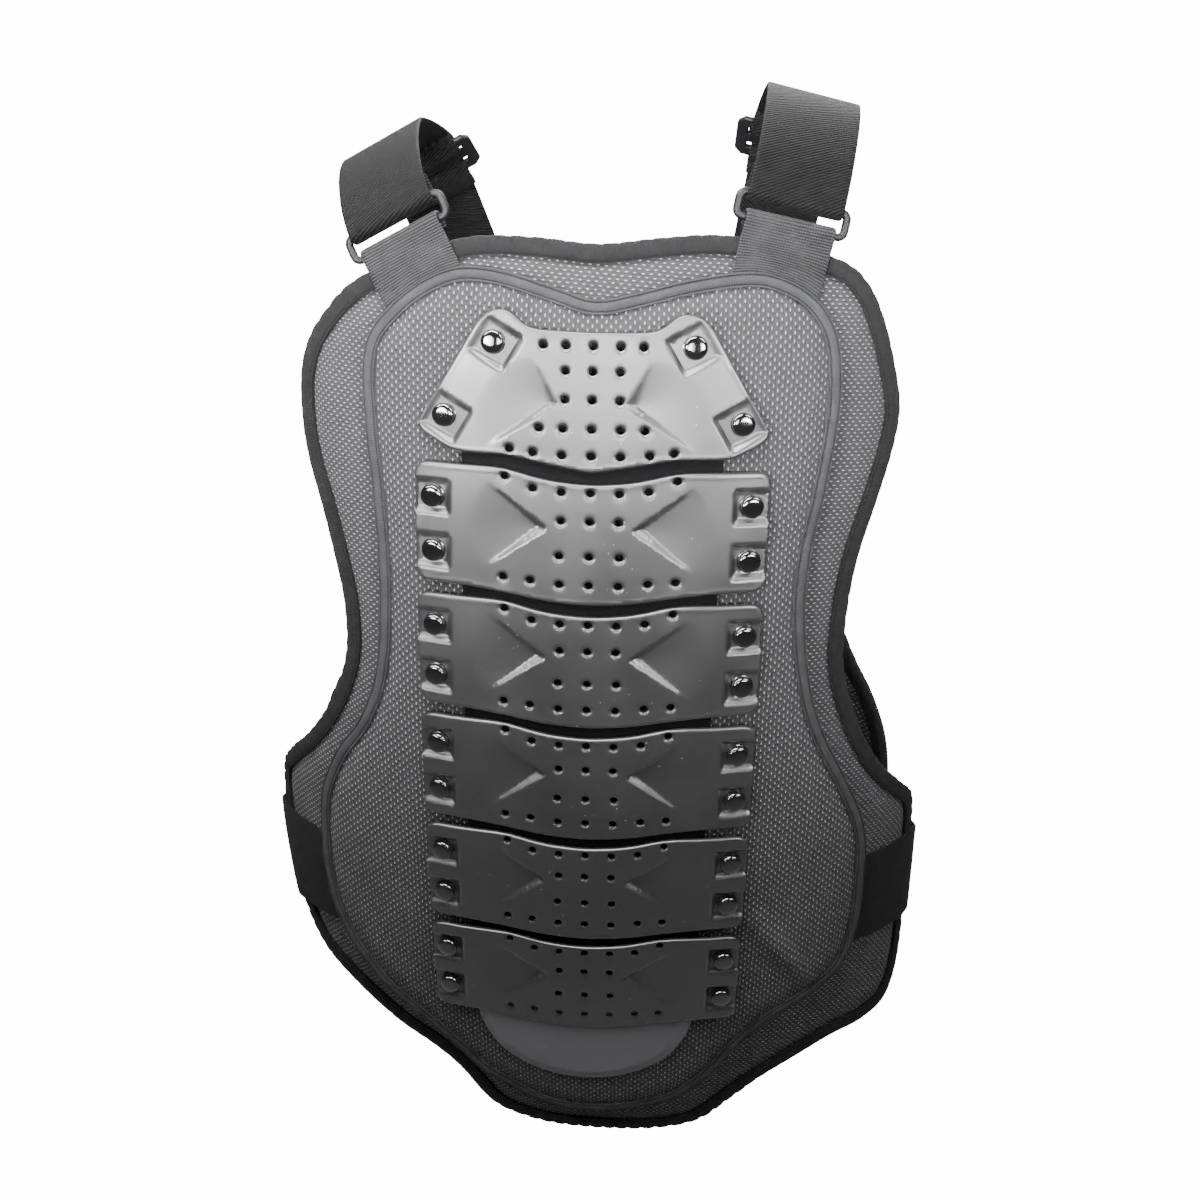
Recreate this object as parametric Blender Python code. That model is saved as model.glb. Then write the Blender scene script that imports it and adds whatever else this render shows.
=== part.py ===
# Motorcycle armour vest: a front and a back panel of padded mesh, six snapped chest plates,
# a tail plate, two webbing shoulder straps and two elastic waist bands.
# Metres. The origin is where the shoulders carry the straps, +Z up, the chest faces -Y
# and the viewer's right is +X.
import math

import bmesh
import bpy
import numpy as np
from mathutils import Vector
from mathutils.geometry import delaunay_2d_cdt

# Torso that the panels lie on: half an ellipse in front, half an ellipse behind
TORSO_HALF_WIDTH = 0.180
TORSO_HALF_DEPTH = 0.090
PANEL_DROP = 0.064
PANEL_HEIGHT = 0.558
BELLY_SHARE = 0.351
TIP_LEAN = 0.0535
SIDE_FLARE = 0.0070
FLARE_START = 0.80

# Padded panels and their edge tapes
OUTER_THICK = 0.0050
INNER_THICK = 0.0067
BACK_THICK = 0.0055
LAYER_GAP = 0.0008
SEAM_GAP = 0.0004
BINDING_WIDTH = 0.0090
BINDING_PROUD = 0.0004
BAND_WIDTH = 0.0070
BAND_THICK = 0.0034
PANEL_GRID = (0.024, 0.052)

# Chest plates
PLATE_WIDTH = 0.170
PLATE_HEIGHT = 0.061
PLATE_PITCH = 0.0675
PLATE_COUNT = 5
PLATE_THICK = 0.0022
PLATE_RISE = 0.0026
PLATE_SAG = 0.0070
PLATE_CORNER = 0.0055
STACK_DROP = 0.173
COLLAR_WIDTH = 0.165
COLLAR_HEIGHT = 0.076
COLLAR_OVER_STACK = 0.001
HOLE_RADIUS = 0.0020
HOLE_SIDES = 5
CHEVRON_DEPTH = 0.0022
CHEVRON_WALL = 0.0048
POCKET_HALF = 0.0090
POCKET_WALL = 0.0014
PLATE_GRID = (0.036, 0.026)
TONGUE_WIDTH = 0.124
TONGUE_REACH = 0.0135
TONGUE_THICK = 0.0015
TAIL_WIDTH = 0.122
TAIL_HEIGHT = 0.068
TAIL_TUCK = 0.013
TAIL_THICK = 0.0018

# Snap fasteners
SNAP_RADIUS = 0.0061
SNAP_HEIGHT = 0.0042
SNAP_SIDES = 8
SNAP_INSET = 0.0090
SNAP_GAP = 0.0004

# Webbing, rings, sliders and elastic
STRAP_WIDTH = 0.048
STRAP_THICK = 0.0018
STRAP_DOUBLED = 0.026
WEB_WIDTH = 0.045
WEB_THICK = 0.0018
BAR_RADIUS = 0.0020
BAR_GAP = 0.00035
RING_BAR_SPACING = 0.0115
RING_CLEARANCE = 0.0012
SLIDER_BAR = 0.0064
SLIDER_THICK = 0.0030
SLIDER_SLOT = 0.0042
SLIDER_TURN = 146.0
TUCK = 0.0050
REAR_WEB_SEWN = 0.045
ELASTIC_WIDTH = 0.060
ELASTIC_THICK = 0.0016
ELASTIC_DROP = 0.411
ELASTIC_BACK_END = 0.150
ELASTIC_ROWS = 3
ACROSS = 2
LOOP_STEPS = 6
ARCH_STEPS = 10
FOLD_STEPS = 3

# Outline of the front outer panel, one row for each station from the neck to the lower tip.
# "out" is a share of the quarter girth and "down" a share of the panel's height.
# left out, left down, right out, right down
OUTER_OUTLINE = (
    (0.000, 0.006, 0.000, 0.006),
    (0.137, 0.002, 0.135, 0.000),
    (0.285, 0.004, 0.265, -0.003),
    (0.435, 0.023, 0.420, 0.005),
    (0.570, 0.048, 0.555, 0.020),
    (0.650, 0.077, 0.620, 0.041),
    (0.706, 0.106, 0.665, 0.072),
    (0.734, 0.140, 0.702, 0.111),
    (0.734, 0.183, 0.728, 0.151),
    (0.716, 0.219, 0.716, 0.190),
    (0.680, 0.260, 0.680, 0.238),
    (0.647, 0.306, 0.642, 0.287),
    (0.622, 0.355, 0.624, 0.340),
    (0.628, 0.409, 0.628, 0.400),
    (0.688, 0.464, 0.688, 0.464),
    (0.780, 0.511, 0.770, 0.515),
    (0.880, 0.545, 0.870, 0.552),
    (0.952, 0.577, 0.950, 0.584),
    (0.960, 0.624, 0.968, 0.647),
    (0.917, 0.683, 0.972, 0.719),
    (0.870, 0.738, 0.968, 0.785),
    (0.794, 0.778, 0.917, 0.832),
    (0.670, 0.815, 0.817, 0.850),
    (0.532, 0.857, 0.688, 0.862),
    (0.436, 0.882, 0.518, 0.903),
    (0.358, 0.912, 0.422, 0.939),
    (0.266, 0.966, 0.320, 0.980),
    (0.138, 0.991, 0.183, 0.996),
    (0.000, 0.998, 0.000, 0.998),
)

# Outline of the front inner panel's edge band, in the same shares
INNER_OUTLINE = (
    (0.000, 0.052, 0.000, 0.052),
    (0.085, 0.043, 0.092, 0.045),
    (0.197, 0.031, 0.200, 0.034),
    (0.298, 0.029, 0.330, 0.027),
    (0.385, 0.043, 0.413, 0.034),
    (0.459, 0.066, 0.486, 0.052),
    (0.514, 0.093, 0.532, 0.081),
    (0.530, 0.130, 0.550, 0.122),
    (0.523, 0.181, 0.546, 0.165),
    (0.510, 0.235, 0.530, 0.215),
    (0.501, 0.294, 0.502, 0.280),
    (0.504, 0.360, 0.500, 0.340),
    (0.523, 0.416, 0.526, 0.407),
    (0.573, 0.466, 0.573, 0.462),
    (0.651, 0.511, 0.656, 0.525),
    (0.711, 0.565, 0.718, 0.582),
    (0.726, 0.624, 0.734, 0.647),
    (0.716, 0.683, 0.729, 0.706),
    (0.665, 0.738, 0.688, 0.754),
    (0.564, 0.792, 0.596, 0.785),
    (0.459, 0.828, 0.495, 0.812),
    (0.367, 0.862, 0.413, 0.846),
    (0.303, 0.892, 0.347, 0.888),
    (0.210, 0.921, 0.255, 0.925),
    (0.100, 0.945, 0.128, 0.946),
    (0.000, 0.952, 0.000, 0.952),
)

# Outline of the back panel, in the same shares; its left side is drawn in under the arm
BACK_OUTLINE = (
    (0.000, 0.145, 0.000, 0.145),
    (0.140, 0.138, 0.140, 0.138),
    (0.300, 0.128, 0.300, 0.128),
    (0.450, 0.131, 0.450, 0.131),
    (0.575, 0.150, 0.575, 0.150),
    (0.655, 0.185, 0.655, 0.185),
    (0.688, 0.230, 0.688, 0.230),
    (0.672, 0.280, 0.682, 0.280),
    (0.645, 0.335, 0.655, 0.335),
    (0.636, 0.390, 0.650, 0.390),
    (0.656, 0.435, 0.678, 0.435),
    (0.712, 0.478, 0.735, 0.478),
    (0.785, 0.515, 0.805, 0.515),
    (0.846, 0.560, 0.862, 0.560),
    (0.872, 0.625, 0.885, 0.625),
    (0.872, 0.700, 0.880, 0.700),
    (0.850, 0.768, 0.855, 0.768),
    (0.780, 0.815, 0.780, 0.815),
    (0.650, 0.845, 0.650, 0.845),
    (0.480, 0.868, 0.480, 0.868),
    (0.300, 0.884, 0.300, 0.884),
    (0.130, 0.892, 0.130, 0.892),
    (0.000, 0.895, 0.000, 0.895),
)

# Right half of the winged top plate, from its notch round to its lower edge, as shares of
# half its width and of its height: out, down
COLLAR_OUTLINE = (
    (0.000, 0.125),
    (0.300, 0.118),
    (0.375, 0.100),
    (0.455, 0.020),
    (0.510, 0.000),
    (0.585, 0.015),
    (0.655, 0.085),
    (0.985, 0.700),
    (1.000, 0.755),
    (0.970, 0.800),
    (0.810, 0.895),
    (0.740, 0.905),
    (0.470, 0.905),
    (0.240, 0.955),
    (0.000, 1.000),
)

# Air holes of the top plate, as shares of half its width and of its height: down, outs
COLLAR_HOLES = (
    (0.210, (0.000, 0.152, 0.279)),
    (0.365, (0.000, 0.153)),
    (0.542, (0.000, 0.154)),
    (0.724, (0.000, 0.162, 0.298)),
    (0.893, (0.000, 0.165)),
    (0.880, (0.330,)),
    (0.862, (0.465,)),
)

# Snaps of the top plate, in the same shares: out, down
COLLAR_SNAPS = ((0.564, 0.204), (0.848, 0.678))

# Air holes of a stack plate, as shares of half its width and of its height: down, outs
STACK_HOLES = (
    (0.067, (0.476,)),
    (0.154, (0.320,)),
    (0.177, (0.000, 0.160)),
    (0.410, (0.000, 0.160)),
    (0.700, (0.000, 0.168)),
    (0.902, (0.484,)),
    (0.918, (0.330,)),
    (0.942, (0.000, 0.165)),
)

# Snaps of a stack plate: down
STACK_SNAPS = (0.279, 0.734)

# Chevron creases: upper end, apex and lower end as shares of half width and of height
COLLAR_CHEVRON = ((0.315, 0.310), (0.180, 0.570), (0.570, 0.838))
STACK_CHEVRON = ((0.540, 0.150), (0.228, 0.470), (0.545, 0.785))

# Right half of the tail plate, as shares of half its width and of its height: out, down
TAIL_OUTLINE = (
    (0.000, 0.000),
    (0.330, 0.000),
    (0.670, 0.000),
    (1.000, 0.000),
    (1.000, 0.250),
    (0.930, 0.470),
    (0.790, 0.690),
    (0.560, 0.860),
    (0.290, 0.965),
    (0.000, 1.000),
)

# Shoulder straps: side, sign of x, ring out, ring drop, lean in degrees, arch rise
STRAP_SIDES = (
    ("left", -1, 0.099, 0.064, 28.0, 0.0335),
    ("right", 1, 0.092, 0.053, 12.0, 0.0460),
)

# Colours and finish: name, base colour, roughness, metallic
FINISHES = {
    "mesh_fabric": ((0.060, 0.061, 0.065), 0.85, 0.0),
    "edge_tape": ((0.018, 0.018, 0.020), 0.80, 0.0),
    "moulded_plastic": ((0.045, 0.046, 0.049), 0.42, 0.0),
    "gloss_plastic": ((0.010, 0.010, 0.011), 0.12, 0.0),
    "grey_webbing": ((0.050, 0.051, 0.055), 0.75, 0.0),
    "black_webbing": ((0.014, 0.014, 0.016), 0.75, 0.0),
    "black_elastic": ((0.012, 0.012, 0.013), 0.70, 0.0),
}

PANEL_TOP = -PANEL_DROP
BELLY_Z = PANEL_TOP - BELLY_SHARE * PANEL_HEIGHT
INNER_BASE = OUTER_THICK + LAYER_GAP
INNER_FACE = INNER_BASE + INNER_THICK
PLATE_SEAT = INNER_FACE + LAYER_GAP
PLATE_UNDER = PLATE_SEAT + PLATE_RISE
WEB_BASE = OUTER_THICK + BINDING_PROUD + LAYER_GAP / 2
BAND_BASE = WEB_BASE + max(WEB_THICK, ELASTIC_THICK) + LAYER_GAP / 2
BACK_WEB_BASE = BACK_THICK + BINDING_PROUD + LAYER_GAP / 2
LOOP_RADIUS = BAR_RADIUS + BAR_GAP + STRAP_THICK / 2
SLIDER_LOOP = math.hypot(SLIDER_BAR / 2, SLIDER_THICK / 2) + BAR_GAP + STRAP_THICK / 2

ANGLES = np.linspace(0.0, math.pi / 2, 801)
GIRTHS = np.concatenate(
    [
        [0.0],
        np.cumsum(
            np.hypot(
                np.diff(TORSO_HALF_WIDTH * np.sin(ANGLES)),
                np.diff(TORSO_HALF_DEPTH * np.cos(ANGLES)),
            )
        ),
    ]
)
QUARTER_GIRTH = float(GIRTHS[-1])


def torso(out, height, lift, back=False):
    """The point at a girth `out` from the midline, at a height, `lift` proud of the torso."""
    angle = float(np.interp(abs(out), GIRTHS, ANGLES))
    sign = 1.0 if out >= 0 else -1.0
    reach = (1.0 - BELLY_SHARE) * PANEL_HEIGHT
    lean = TIP_LEAN * ((height - BELLY_Z) / reach) ** 2
    slope = 2.0 * TIP_LEAN * (height - BELLY_Z) / reach**2
    depth = TORSO_HALF_DEPTH - lean
    across, along = math.sin(angle), math.cos(angle)
    flare = max(0.0, (abs(out) / QUARTER_GIRTH - FLARE_START) / (1.0 - FLARE_START))
    lift += SIDE_FLARE * min(1.0, flare) ** 2
    point = Vector((sign * TORSO_HALF_WIDTH * across, -depth * along, height))
    normal = Vector(
        (sign * depth * across, -TORSO_HALF_WIDTH * along, TORSO_HALF_WIDTH * along**2 * slope)
    ).normalized()
    point += normal * lift
    if back:
        point.y = -point.y
    return point


# Flat pattern work: outlines, offsets and meshes in (out, height)


def finish(name):
    material = bpy.data.materials.get(name)
    if material is None:
        colour, roughness, metallic = FINISHES[name]
        material = bpy.data.materials.new(name)
        material.use_nodes = True
        shader = material.node_tree.nodes["Principled BSDF"]
        shader.inputs["Base Color"].default_value = (*colour, 1.0)
        shader.inputs["Roughness"].default_value = roughness
        shader.inputs["Metallic"].default_value = metallic
        material.diffuse_color = (*colour, 1.0)
    return material


def add_object(name, mesh, material):
    obj = bpy.data.objects.new(name, mesh)
    if not mesh.materials:
        mesh.materials.append(finish(material))
    bpy.context.collection.objects.link(obj)
    return obj


def smooth_loop(points, steps):
    """A closed curve through the points, with `steps` places for each of them."""
    points = [np.array(point, float) for point in points]
    count = len(points)
    loop = []
    for index in range(count):
        before, start = points[index - 1], points[index]
        end, after = points[(index + 1) % count], points[(index + 2) % count]
        for step in range(steps):
            t = step / steps
            loop.append(
                0.5
                * (
                    2 * start
                    + (end - before) * t
                    + (2 * before - 5 * start + 4 * end - after) * t**2
                    + (3 * start - before - 3 * end + after) * t**3
                )
            )
    return loop


def panel_loop(rows, steps=2):
    """An outline of a panel, down its left side and up its right one."""
    def place(out, down):
        return (out * QUARTER_GIRTH, PANEL_TOP - down * PANEL_HEIGHT)

    left = [place(-row[0], row[1]) for row in rows]
    right = [place(row[2], row[3]) for row in rows[1:-1]]
    return smooth_loop(left + right[::-1], steps)


def mirrored_loop(rows, width, height, top):
    """An outline of a plate from the shares of its right half, down the left and up the right."""
    def place(out, down):
        return np.array((out * width / 2, top - down * height))

    left = [place(-out, down) for out, down in rows]
    right = [place(out, down) for out, down in rows if out > 0]
    return left + right[::-1]


def inset(loop, distance):
    """The loop moved inwards in the flat pattern."""
    moved = []
    for index, point in enumerate(loop):
        along = loop[(index + 1) % len(loop)] - loop[index - 1]
        along = along / np.linalg.norm(along)
        moved.append(point + distance * np.array((-along[1], along[0])))
    return moved


def inside(point, loop):
    crossings = False
    for index, end in enumerate(loop):
        start = loop[index - 1]
        if (start[1] > point[1]) != (end[1] > point[1]):
            share = (point[1] - start[1]) / (end[1] - start[1])
            if point[0] < start[0] + share * (end[0] - start[0]):
                crossings = not crossings
    return crossings


def clearance(point, loop):
    """How far a point lies from a loop's nearest side."""
    nearest = math.inf
    for index, end in enumerate(loop):
        start = loop[index - 1]
        side = end - start
        share = np.clip(np.dot(point - start, side) / max(np.dot(side, side), 1e-18), 0.0, 1.0)
        nearest = min(nearest, float(np.linalg.norm(start + share * side - point)))
    return nearest


def edge_out(loop, height, sign):
    """How far out a loop reaches on one side at a height."""
    outs = []
    for index, end in enumerate(loop):
        start = loop[index - 1]
        if (start[1] > height) != (end[1] > height):
            share = (height - start[1]) / (end[1] - start[1])
            outs.append(start[0] + share * (end[0] - start[0]))
    return max(outs) if sign > 0 else min(outs)


def grid_inside(loop, holes, spacing, margin, blocked=()):
    """Evenly spaced places inside a loop and clear of its holes and blocked shapes."""
    outs = [point[0] for point in loop]
    heights = [point[1] for point in loop]
    places = []
    columns = max(1, round((max(outs) - min(outs)) / spacing[0]))
    lines = max(1, round((max(heights) - min(heights)) / spacing[1]))
    for column in range(1, columns):
        for line in range(1, lines):
            place = np.array(
                (
                    min(outs) + (max(outs) - min(outs)) * column / columns,
                    min(heights) + (max(heights) - min(heights)) * line / lines,
                )
            )
            if not inside(place, loop) or clearance(place, loop) < margin:
                continue
            shapes = list(holes) + list(blocked)
            if any(inside(place, shape) or clearance(place, shape) < margin for shape in shapes):
                continue
            places.append(place)
    return places


def cover(loops, lines, extra):
    """Triangles over the first loop, less the other loops, that keep to the given lines."""
    points, levels, edges = [], [], []

    def add(place, level):
        for index, known in enumerate(points):
            if abs(known[0] - place[0]) < 1e-6 and abs(known[1] - place[1]) < 1e-6:
                return index
        points.append((float(place[0]), float(place[1])))
        levels.append(level)
        return len(points) - 1

    for loop in loops:
        indices = [add(place, level) for place, level in loop]
        edges += [(indices[i - 1], indices[i]) for i in range(len(indices))]
    for line in lines:
        indices = [add(place, level) for place, level in line]
        edges += list(zip(indices, indices[1:]))
    for place in extra:
        add(place, 0.0)
    found = delaunay_2d_cdt([Vector(point) for point in points], edges, [], 0, 1e-7)
    places, triangles = found[0], found[2]
    heights = [levels[sources[0]] if sources else 0.0 for sources in found[3]]
    outline = [place for place, _ in loops[0]]
    holes = [[place for place, _ in loop] for loop in loops[1:]]
    kept = []
    for triangle in triangles:
        middle = sum((np.array(places[i]) for i in triangle), np.zeros(2)) / 3
        if inside(middle, outline) and not any(inside(middle, hole) for hole in holes):
            kept.append(tuple(triangle))
    return [tuple(place) for place in places], heights, kept


def closed_sheet(name, flat, material, base, thick, back=False):
    """A sheet of even thickness over the torso, from a flat pattern of triangles."""
    places, levels, triangles = flat
    used = sorted({index for triangle in triangles for index in triangle})
    number = {index: position for position, index in enumerate(used)}
    model = bmesh.new()
    under, over = [], []
    for index in used:
        out, height = places[index]
        lift = base + levels[index]
        under.append(model.verts.new(torso(out, height, lift, back)))
        over.append(model.verts.new(torso(out, height, lift + thick, back)))
    rim = {}
    for triangle in triangles:
        a, b, c = (number[index] for index in triangle)
        front = (a, c, b) if back else (a, b, c)
        model.faces.new([over[i] for i in front])
        model.faces.new([under[i] for i in reversed(front)])
        for start, end in zip(front, front[1:] + front[:1]):
            if (end, start) in rim:
                del rim[(end, start)]
            else:
                rim[(start, end)] = True
    for start, end in rim:
        model.faces.new((over[start], under[start], under[end], over[end]))
    return link_model(name, model, material)


def link_model(name, model, material, smooth_angle=40.0):
    mesh = bpy.data.meshes.new(name)
    bmesh.ops.recalc_face_normals(model, faces=model.faces)
    model.to_mesh(mesh)
    model.free()
    mesh.shade_smooth()
    mesh.set_sharp_from_angle(angle=math.radians(smooth_angle))
    return add_object(name, mesh, material)


def slab(name, rows, material):
    """A solid between two grids: each row is a list of (inner, outer) points."""
    model = bmesh.new()
    inner = [[model.verts.new(pair[0]) for pair in row] for row in rows]
    outer = [[model.verts.new(pair[1]) for pair in row] for row in rows]
    for grid in (inner, outer):
        for row, following in zip(grid, grid[1:]):
            for i in range(len(row) - 1):
                model.faces.new((row[i], row[i + 1], following[i + 1], following[i]))
    for a, b in ((inner[0], outer[0]), (inner[-1], outer[-1])):
        for i in range(len(a) - 1):
            model.faces.new((a[i], a[i + 1], b[i + 1], b[i]))
    for side in (0, -1):
        for i in range(len(rows) - 1):
            model.faces.new((inner[i][side], inner[i + 1][side], outer[i + 1][side], outer[i][side]))
    return link_model(name, model, material)


def edge_bar(name, loop, section, material, back=False):
    """A tape round a loop: the section's rows are how far in and how far proud."""
    rings = [[torso(*place, lift, back) for place in inset(loop, depth)] for depth, lift in section]
    model = bmesh.new()
    verts = [[model.verts.new(point) for point in ring] for ring in rings]
    sides, count = len(section), len(loop)
    for side in range(sides):
        a, b = verts[side], verts[(side + 1) % sides]
        for i in range(count):
            j = (i + 1) % count
            model.faces.new((a[i], a[j], b[j], b[i]))
    return link_model(name, model, material)


# Panels


def panel(name, loop, margin, base, thick, back=False):
    edge = inset(loop, margin)
    grid = grid_inside(edge, [], PANEL_GRID, PANEL_GRID[0] * 0.4)
    flat = cover([[(place, 0.0) for place in edge]], [], grid)
    return closed_sheet(name, flat, "mesh_fabric", base, thick, back)


def binding(name, loop, thick, back=False):
    low, high = -BINDING_PROUD, thick + BINDING_PROUD
    round_in = BINDING_WIDTH * 0.22
    section = (
        (0.0, low + round_in * 0.5),
        (round_in * 0.6, high),
        (BINDING_WIDTH, high),
        (BINDING_WIDTH, low),
    )
    return edge_bar(name, loop, section, "edge_tape", back)


def edge_band(name, loop):
    top = BAND_BASE + BAND_THICK
    section = (
        (0.0, BAND_BASE),
        (BAND_WIDTH * 0.12, top),
        (BAND_WIDTH, top),
        (BAND_WIDTH, BAND_BASE),
    )
    return edge_bar(name, loop, section, "edge_tape")


# Chest plates


def hole_loop(out, height):
    turn = 2 * math.pi / HOLE_SIDES
    return [
        (
            np.array(
                (
                    out + HOLE_RADIUS * math.cos(turn * (i + 0.5)),
                    height + HOLE_RADIUS * math.sin(turn * (i + 0.5)),
                )
            ),
            0.0,
        )
        for i in range(HOLE_SIDES)
    ]


def plate_holes(rows, width, height, top):
    holes = []
    for down, outs in rows:
        for out in outs:
            for sign in (-1, 1) if out else (1,):
                holes.append(hole_loop(sign * out * width / 2, top - down * height))
    return holes


def chevron_lines(shares, width, height, top):
    """Both V creases of a plate: a raised edge, and the foot of the sunk field outside it."""
    lines, fields = [], []
    for sign in (-1, 1):
        upper, apex, lower = (
            np.array((sign * out * width / 2, top - down * height)) for out, down in shares
        )
        foot = apex + np.array((sign * CHEVRON_WALL, 0.0))
        lines.append([(upper, 0.0), (apex, 0.0), (lower, 0.0)])
        lines.append([(upper, 0.0), (foot, -CHEVRON_DEPTH), (lower, 0.0), (upper, 0.0)])
        fields.append([upper, apex, lower])
    return lines, fields


def stack_plate_parts(top):
    """Outline, creases and sunk shapes of one straight plate whose side edge tops at `top`."""
    half, bottom = PLATE_WIDTH / 2, top - PLATE_HEIGHT
    snaps = [top - down * PLATE_HEIGHT for down in STACK_SNAPS]
    flat, step_out, turn = half * 0.49, half * 0.75, PLATE_CORNER * 0.3
    right = [(0.0, top - PLATE_SAG, 0.0), (flat * 0.5, top - PLATE_SAG * 0.75, 0.0)]
    right += [(flat, top, 0.0), (half - PLATE_CORNER, top, 0.0), (half - turn, top - turn, 0.0)]
    for snap in snaps:
        right.append((half, snap + POCKET_HALF, 0.0))
        right.append((half, snap + POCKET_HALF - POCKET_WALL, -PLATE_RISE))
        right.append((half, snap - POCKET_HALF + POCKET_WALL, -PLATE_RISE))
        right.append((half, snap - POCKET_HALF, 0.0))
    right += [(half - turn, bottom + turn, 0.0), (half - PLATE_CORNER, bottom, 0.0)]
    right += [(step_out, bottom, 0.0), (flat, bottom - PLATE_SAG * 0.3, 0.0)]
    right += [(flat * 0.5, bottom - PLATE_SAG * 0.8, 0.0), (0.0, bottom - PLATE_SAG, 0.0)]
    loop = [(np.array((-out, height)), level) for out, height, level in right]
    loop += [(np.array((out, height)), level) for out, height, level in right[-2:0:-1]]
    lines, blocked = [], []
    for sign in (-1, 1):
        for snap in snaps:
            crest, floor = (
                half - SNAP_INSET - POCKET_HALF - POCKET_WALL,
                half - SNAP_INSET - POCKET_HALF,
            )
            for reach, inner, level in (
                (POCKET_HALF, crest, 0.0),
                (POCKET_HALF - POCKET_WALL, floor, -PLATE_RISE),
            ):
                lines.append(
                    [
                        (np.array((sign * half, snap + reach)), level),
                        (np.array((sign * inner, snap + reach)), level),
                        (np.array((sign * inner, snap - reach)), level),
                        (np.array((sign * half, snap - reach)), level),
                    ]
                )
            blocked.append(
                [
                    np.array((sign * half, snap + POCKET_HALF)),
                    np.array((sign * crest, snap + POCKET_HALF)),
                    np.array((sign * crest, snap - POCKET_HALF)),
                    np.array((sign * half, snap - POCKET_HALF)),
                ]
            )
    creases, fields = chevron_lines(STACK_CHEVRON, PLATE_WIDTH, PLATE_HEIGHT, top)
    return loop, lines + creases, blocked + fields


def collar_plate_parts(top):
    """Outline, creases and sunk shapes of the winged top plate."""
    outline = mirrored_loop(COLLAR_OUTLINE, COLLAR_WIDTH, COLLAR_HEIGHT, top)
    lines, blocked = chevron_lines(COLLAR_CHEVRON, COLLAR_WIDTH, COLLAR_HEIGHT, top)
    for out, height, along in collar_snaps(top):
        side = np.array((along[1], -along[0]))
        centre = np.array((out, height))
        for reach, level in ((POCKET_HALF - POCKET_WALL, 0.0), (SNAP_RADIUS + 0.0003, -PLATE_RISE)):
            ring = [
                centre + along * (reach * a) + side * (reach * b)
                for a, b in ((1, 1), (1, -1), (-1, -1), (-1, 1), (1, 1))
            ]
            lines.append([(place, level) for place in ring])
            if level == 0.0:
                blocked.append(ring[:-1])
    return [(place, 0.0) for place in outline], lines, blocked


def collar_snaps(top):
    """Places of the top plate's snaps, and the way the plate's slanting edge runs there."""
    corners = [COLLAR_OUTLINE[6], COLLAR_OUTLINE[7]]
    start, end = (np.array((o * COLLAR_WIDTH / 2, -d * COLLAR_HEIGHT)) for o, d in corners)
    along = (end - start) / np.linalg.norm(end - start)
    return [
        (sign * out * COLLAR_WIDTH / 2, top - down * COLLAR_HEIGHT, along * np.array((sign, 1.0)))
        for sign in (-1, 1)
        for out, down in COLLAR_SNAPS
    ]


def plate(name, parts, holes):
    loop, lines, blocked = parts
    outline = [place for place, _ in loop]
    hole_outlines = [[place for place, _ in hole] for hole in holes]
    grid = grid_inside(outline, hole_outlines, PLATE_GRID, PLATE_GRID[0] * 0.3, blocked)
    flat = cover([loop, *holes], lines, grid)
    return closed_sheet(name, flat, "moulded_plastic", PLATE_UNDER, PLATE_THICK)


def stack_tops():
    first = -STACK_DROP
    return [first - PLATE_PITCH * index for index in range(PLATE_COUNT)]


def chest_plates():
    collar_top = stack_tops()[0] + COLLAR_HEIGHT - COLLAR_OVER_STACK
    holes = plate_holes(COLLAR_HOLES, COLLAR_WIDTH, COLLAR_HEIGHT, collar_top)
    plate("plate_1", collar_plate_parts(collar_top), holes)
    for index, top in enumerate(stack_tops()):
        holes = plate_holes(STACK_HOLES, PLATE_WIDTH, PLATE_HEIGHT, top)
        plate(f"plate_{index + 2}", stack_plate_parts(top), holes)
    return collar_top


def sag_at(out):
    """How far the plates' edges hang below their level ends, this far from the midline."""
    flat = PLATE_WIDTH / 2 * 0.49
    return PLATE_SAG * max(0.0, 1.0 - (abs(out) / flat) ** 1.6)


def hinge_tongues():
    """Flexible strips that show in the gap under each plate and carry the next one."""
    outs = [TONGUE_WIDTH * (i / 6 - 0.5) for i in range(7)]
    for index, top in enumerate(stack_tops()):
        middle = top + (PLATE_PITCH - PLATE_HEIGHT) / 2
        rows = []
        for reach in (TONGUE_REACH, -TONGUE_REACH):
            heights = [middle + reach - sag_at(out) for out in outs]
            rows.append(
                [
                    (torso(o, h, PLATE_SEAT), torso(o, h, PLATE_SEAT + TONGUE_THICK))
                    for o, h in zip(outs, heights)
                ]
            )
        slab(f"plate_tongue_{index + 1}", rows, "moulded_plastic")


def tail_plate():
    top = stack_tops()[-1] - PLATE_HEIGHT + TAIL_TUCK
    outline = mirrored_loop(TAIL_OUTLINE, TAIL_WIDTH, TAIL_HEIGHT, top)
    grid = grid_inside(outline, [], PLATE_GRID, PLATE_GRID[0] * 0.4)
    flat = cover([[(place, 0.0) for place in outline]], [], grid)
    closed_sheet("tail_plate", flat, "moulded_plastic", PLATE_SEAT, TAIL_THICK)


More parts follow.
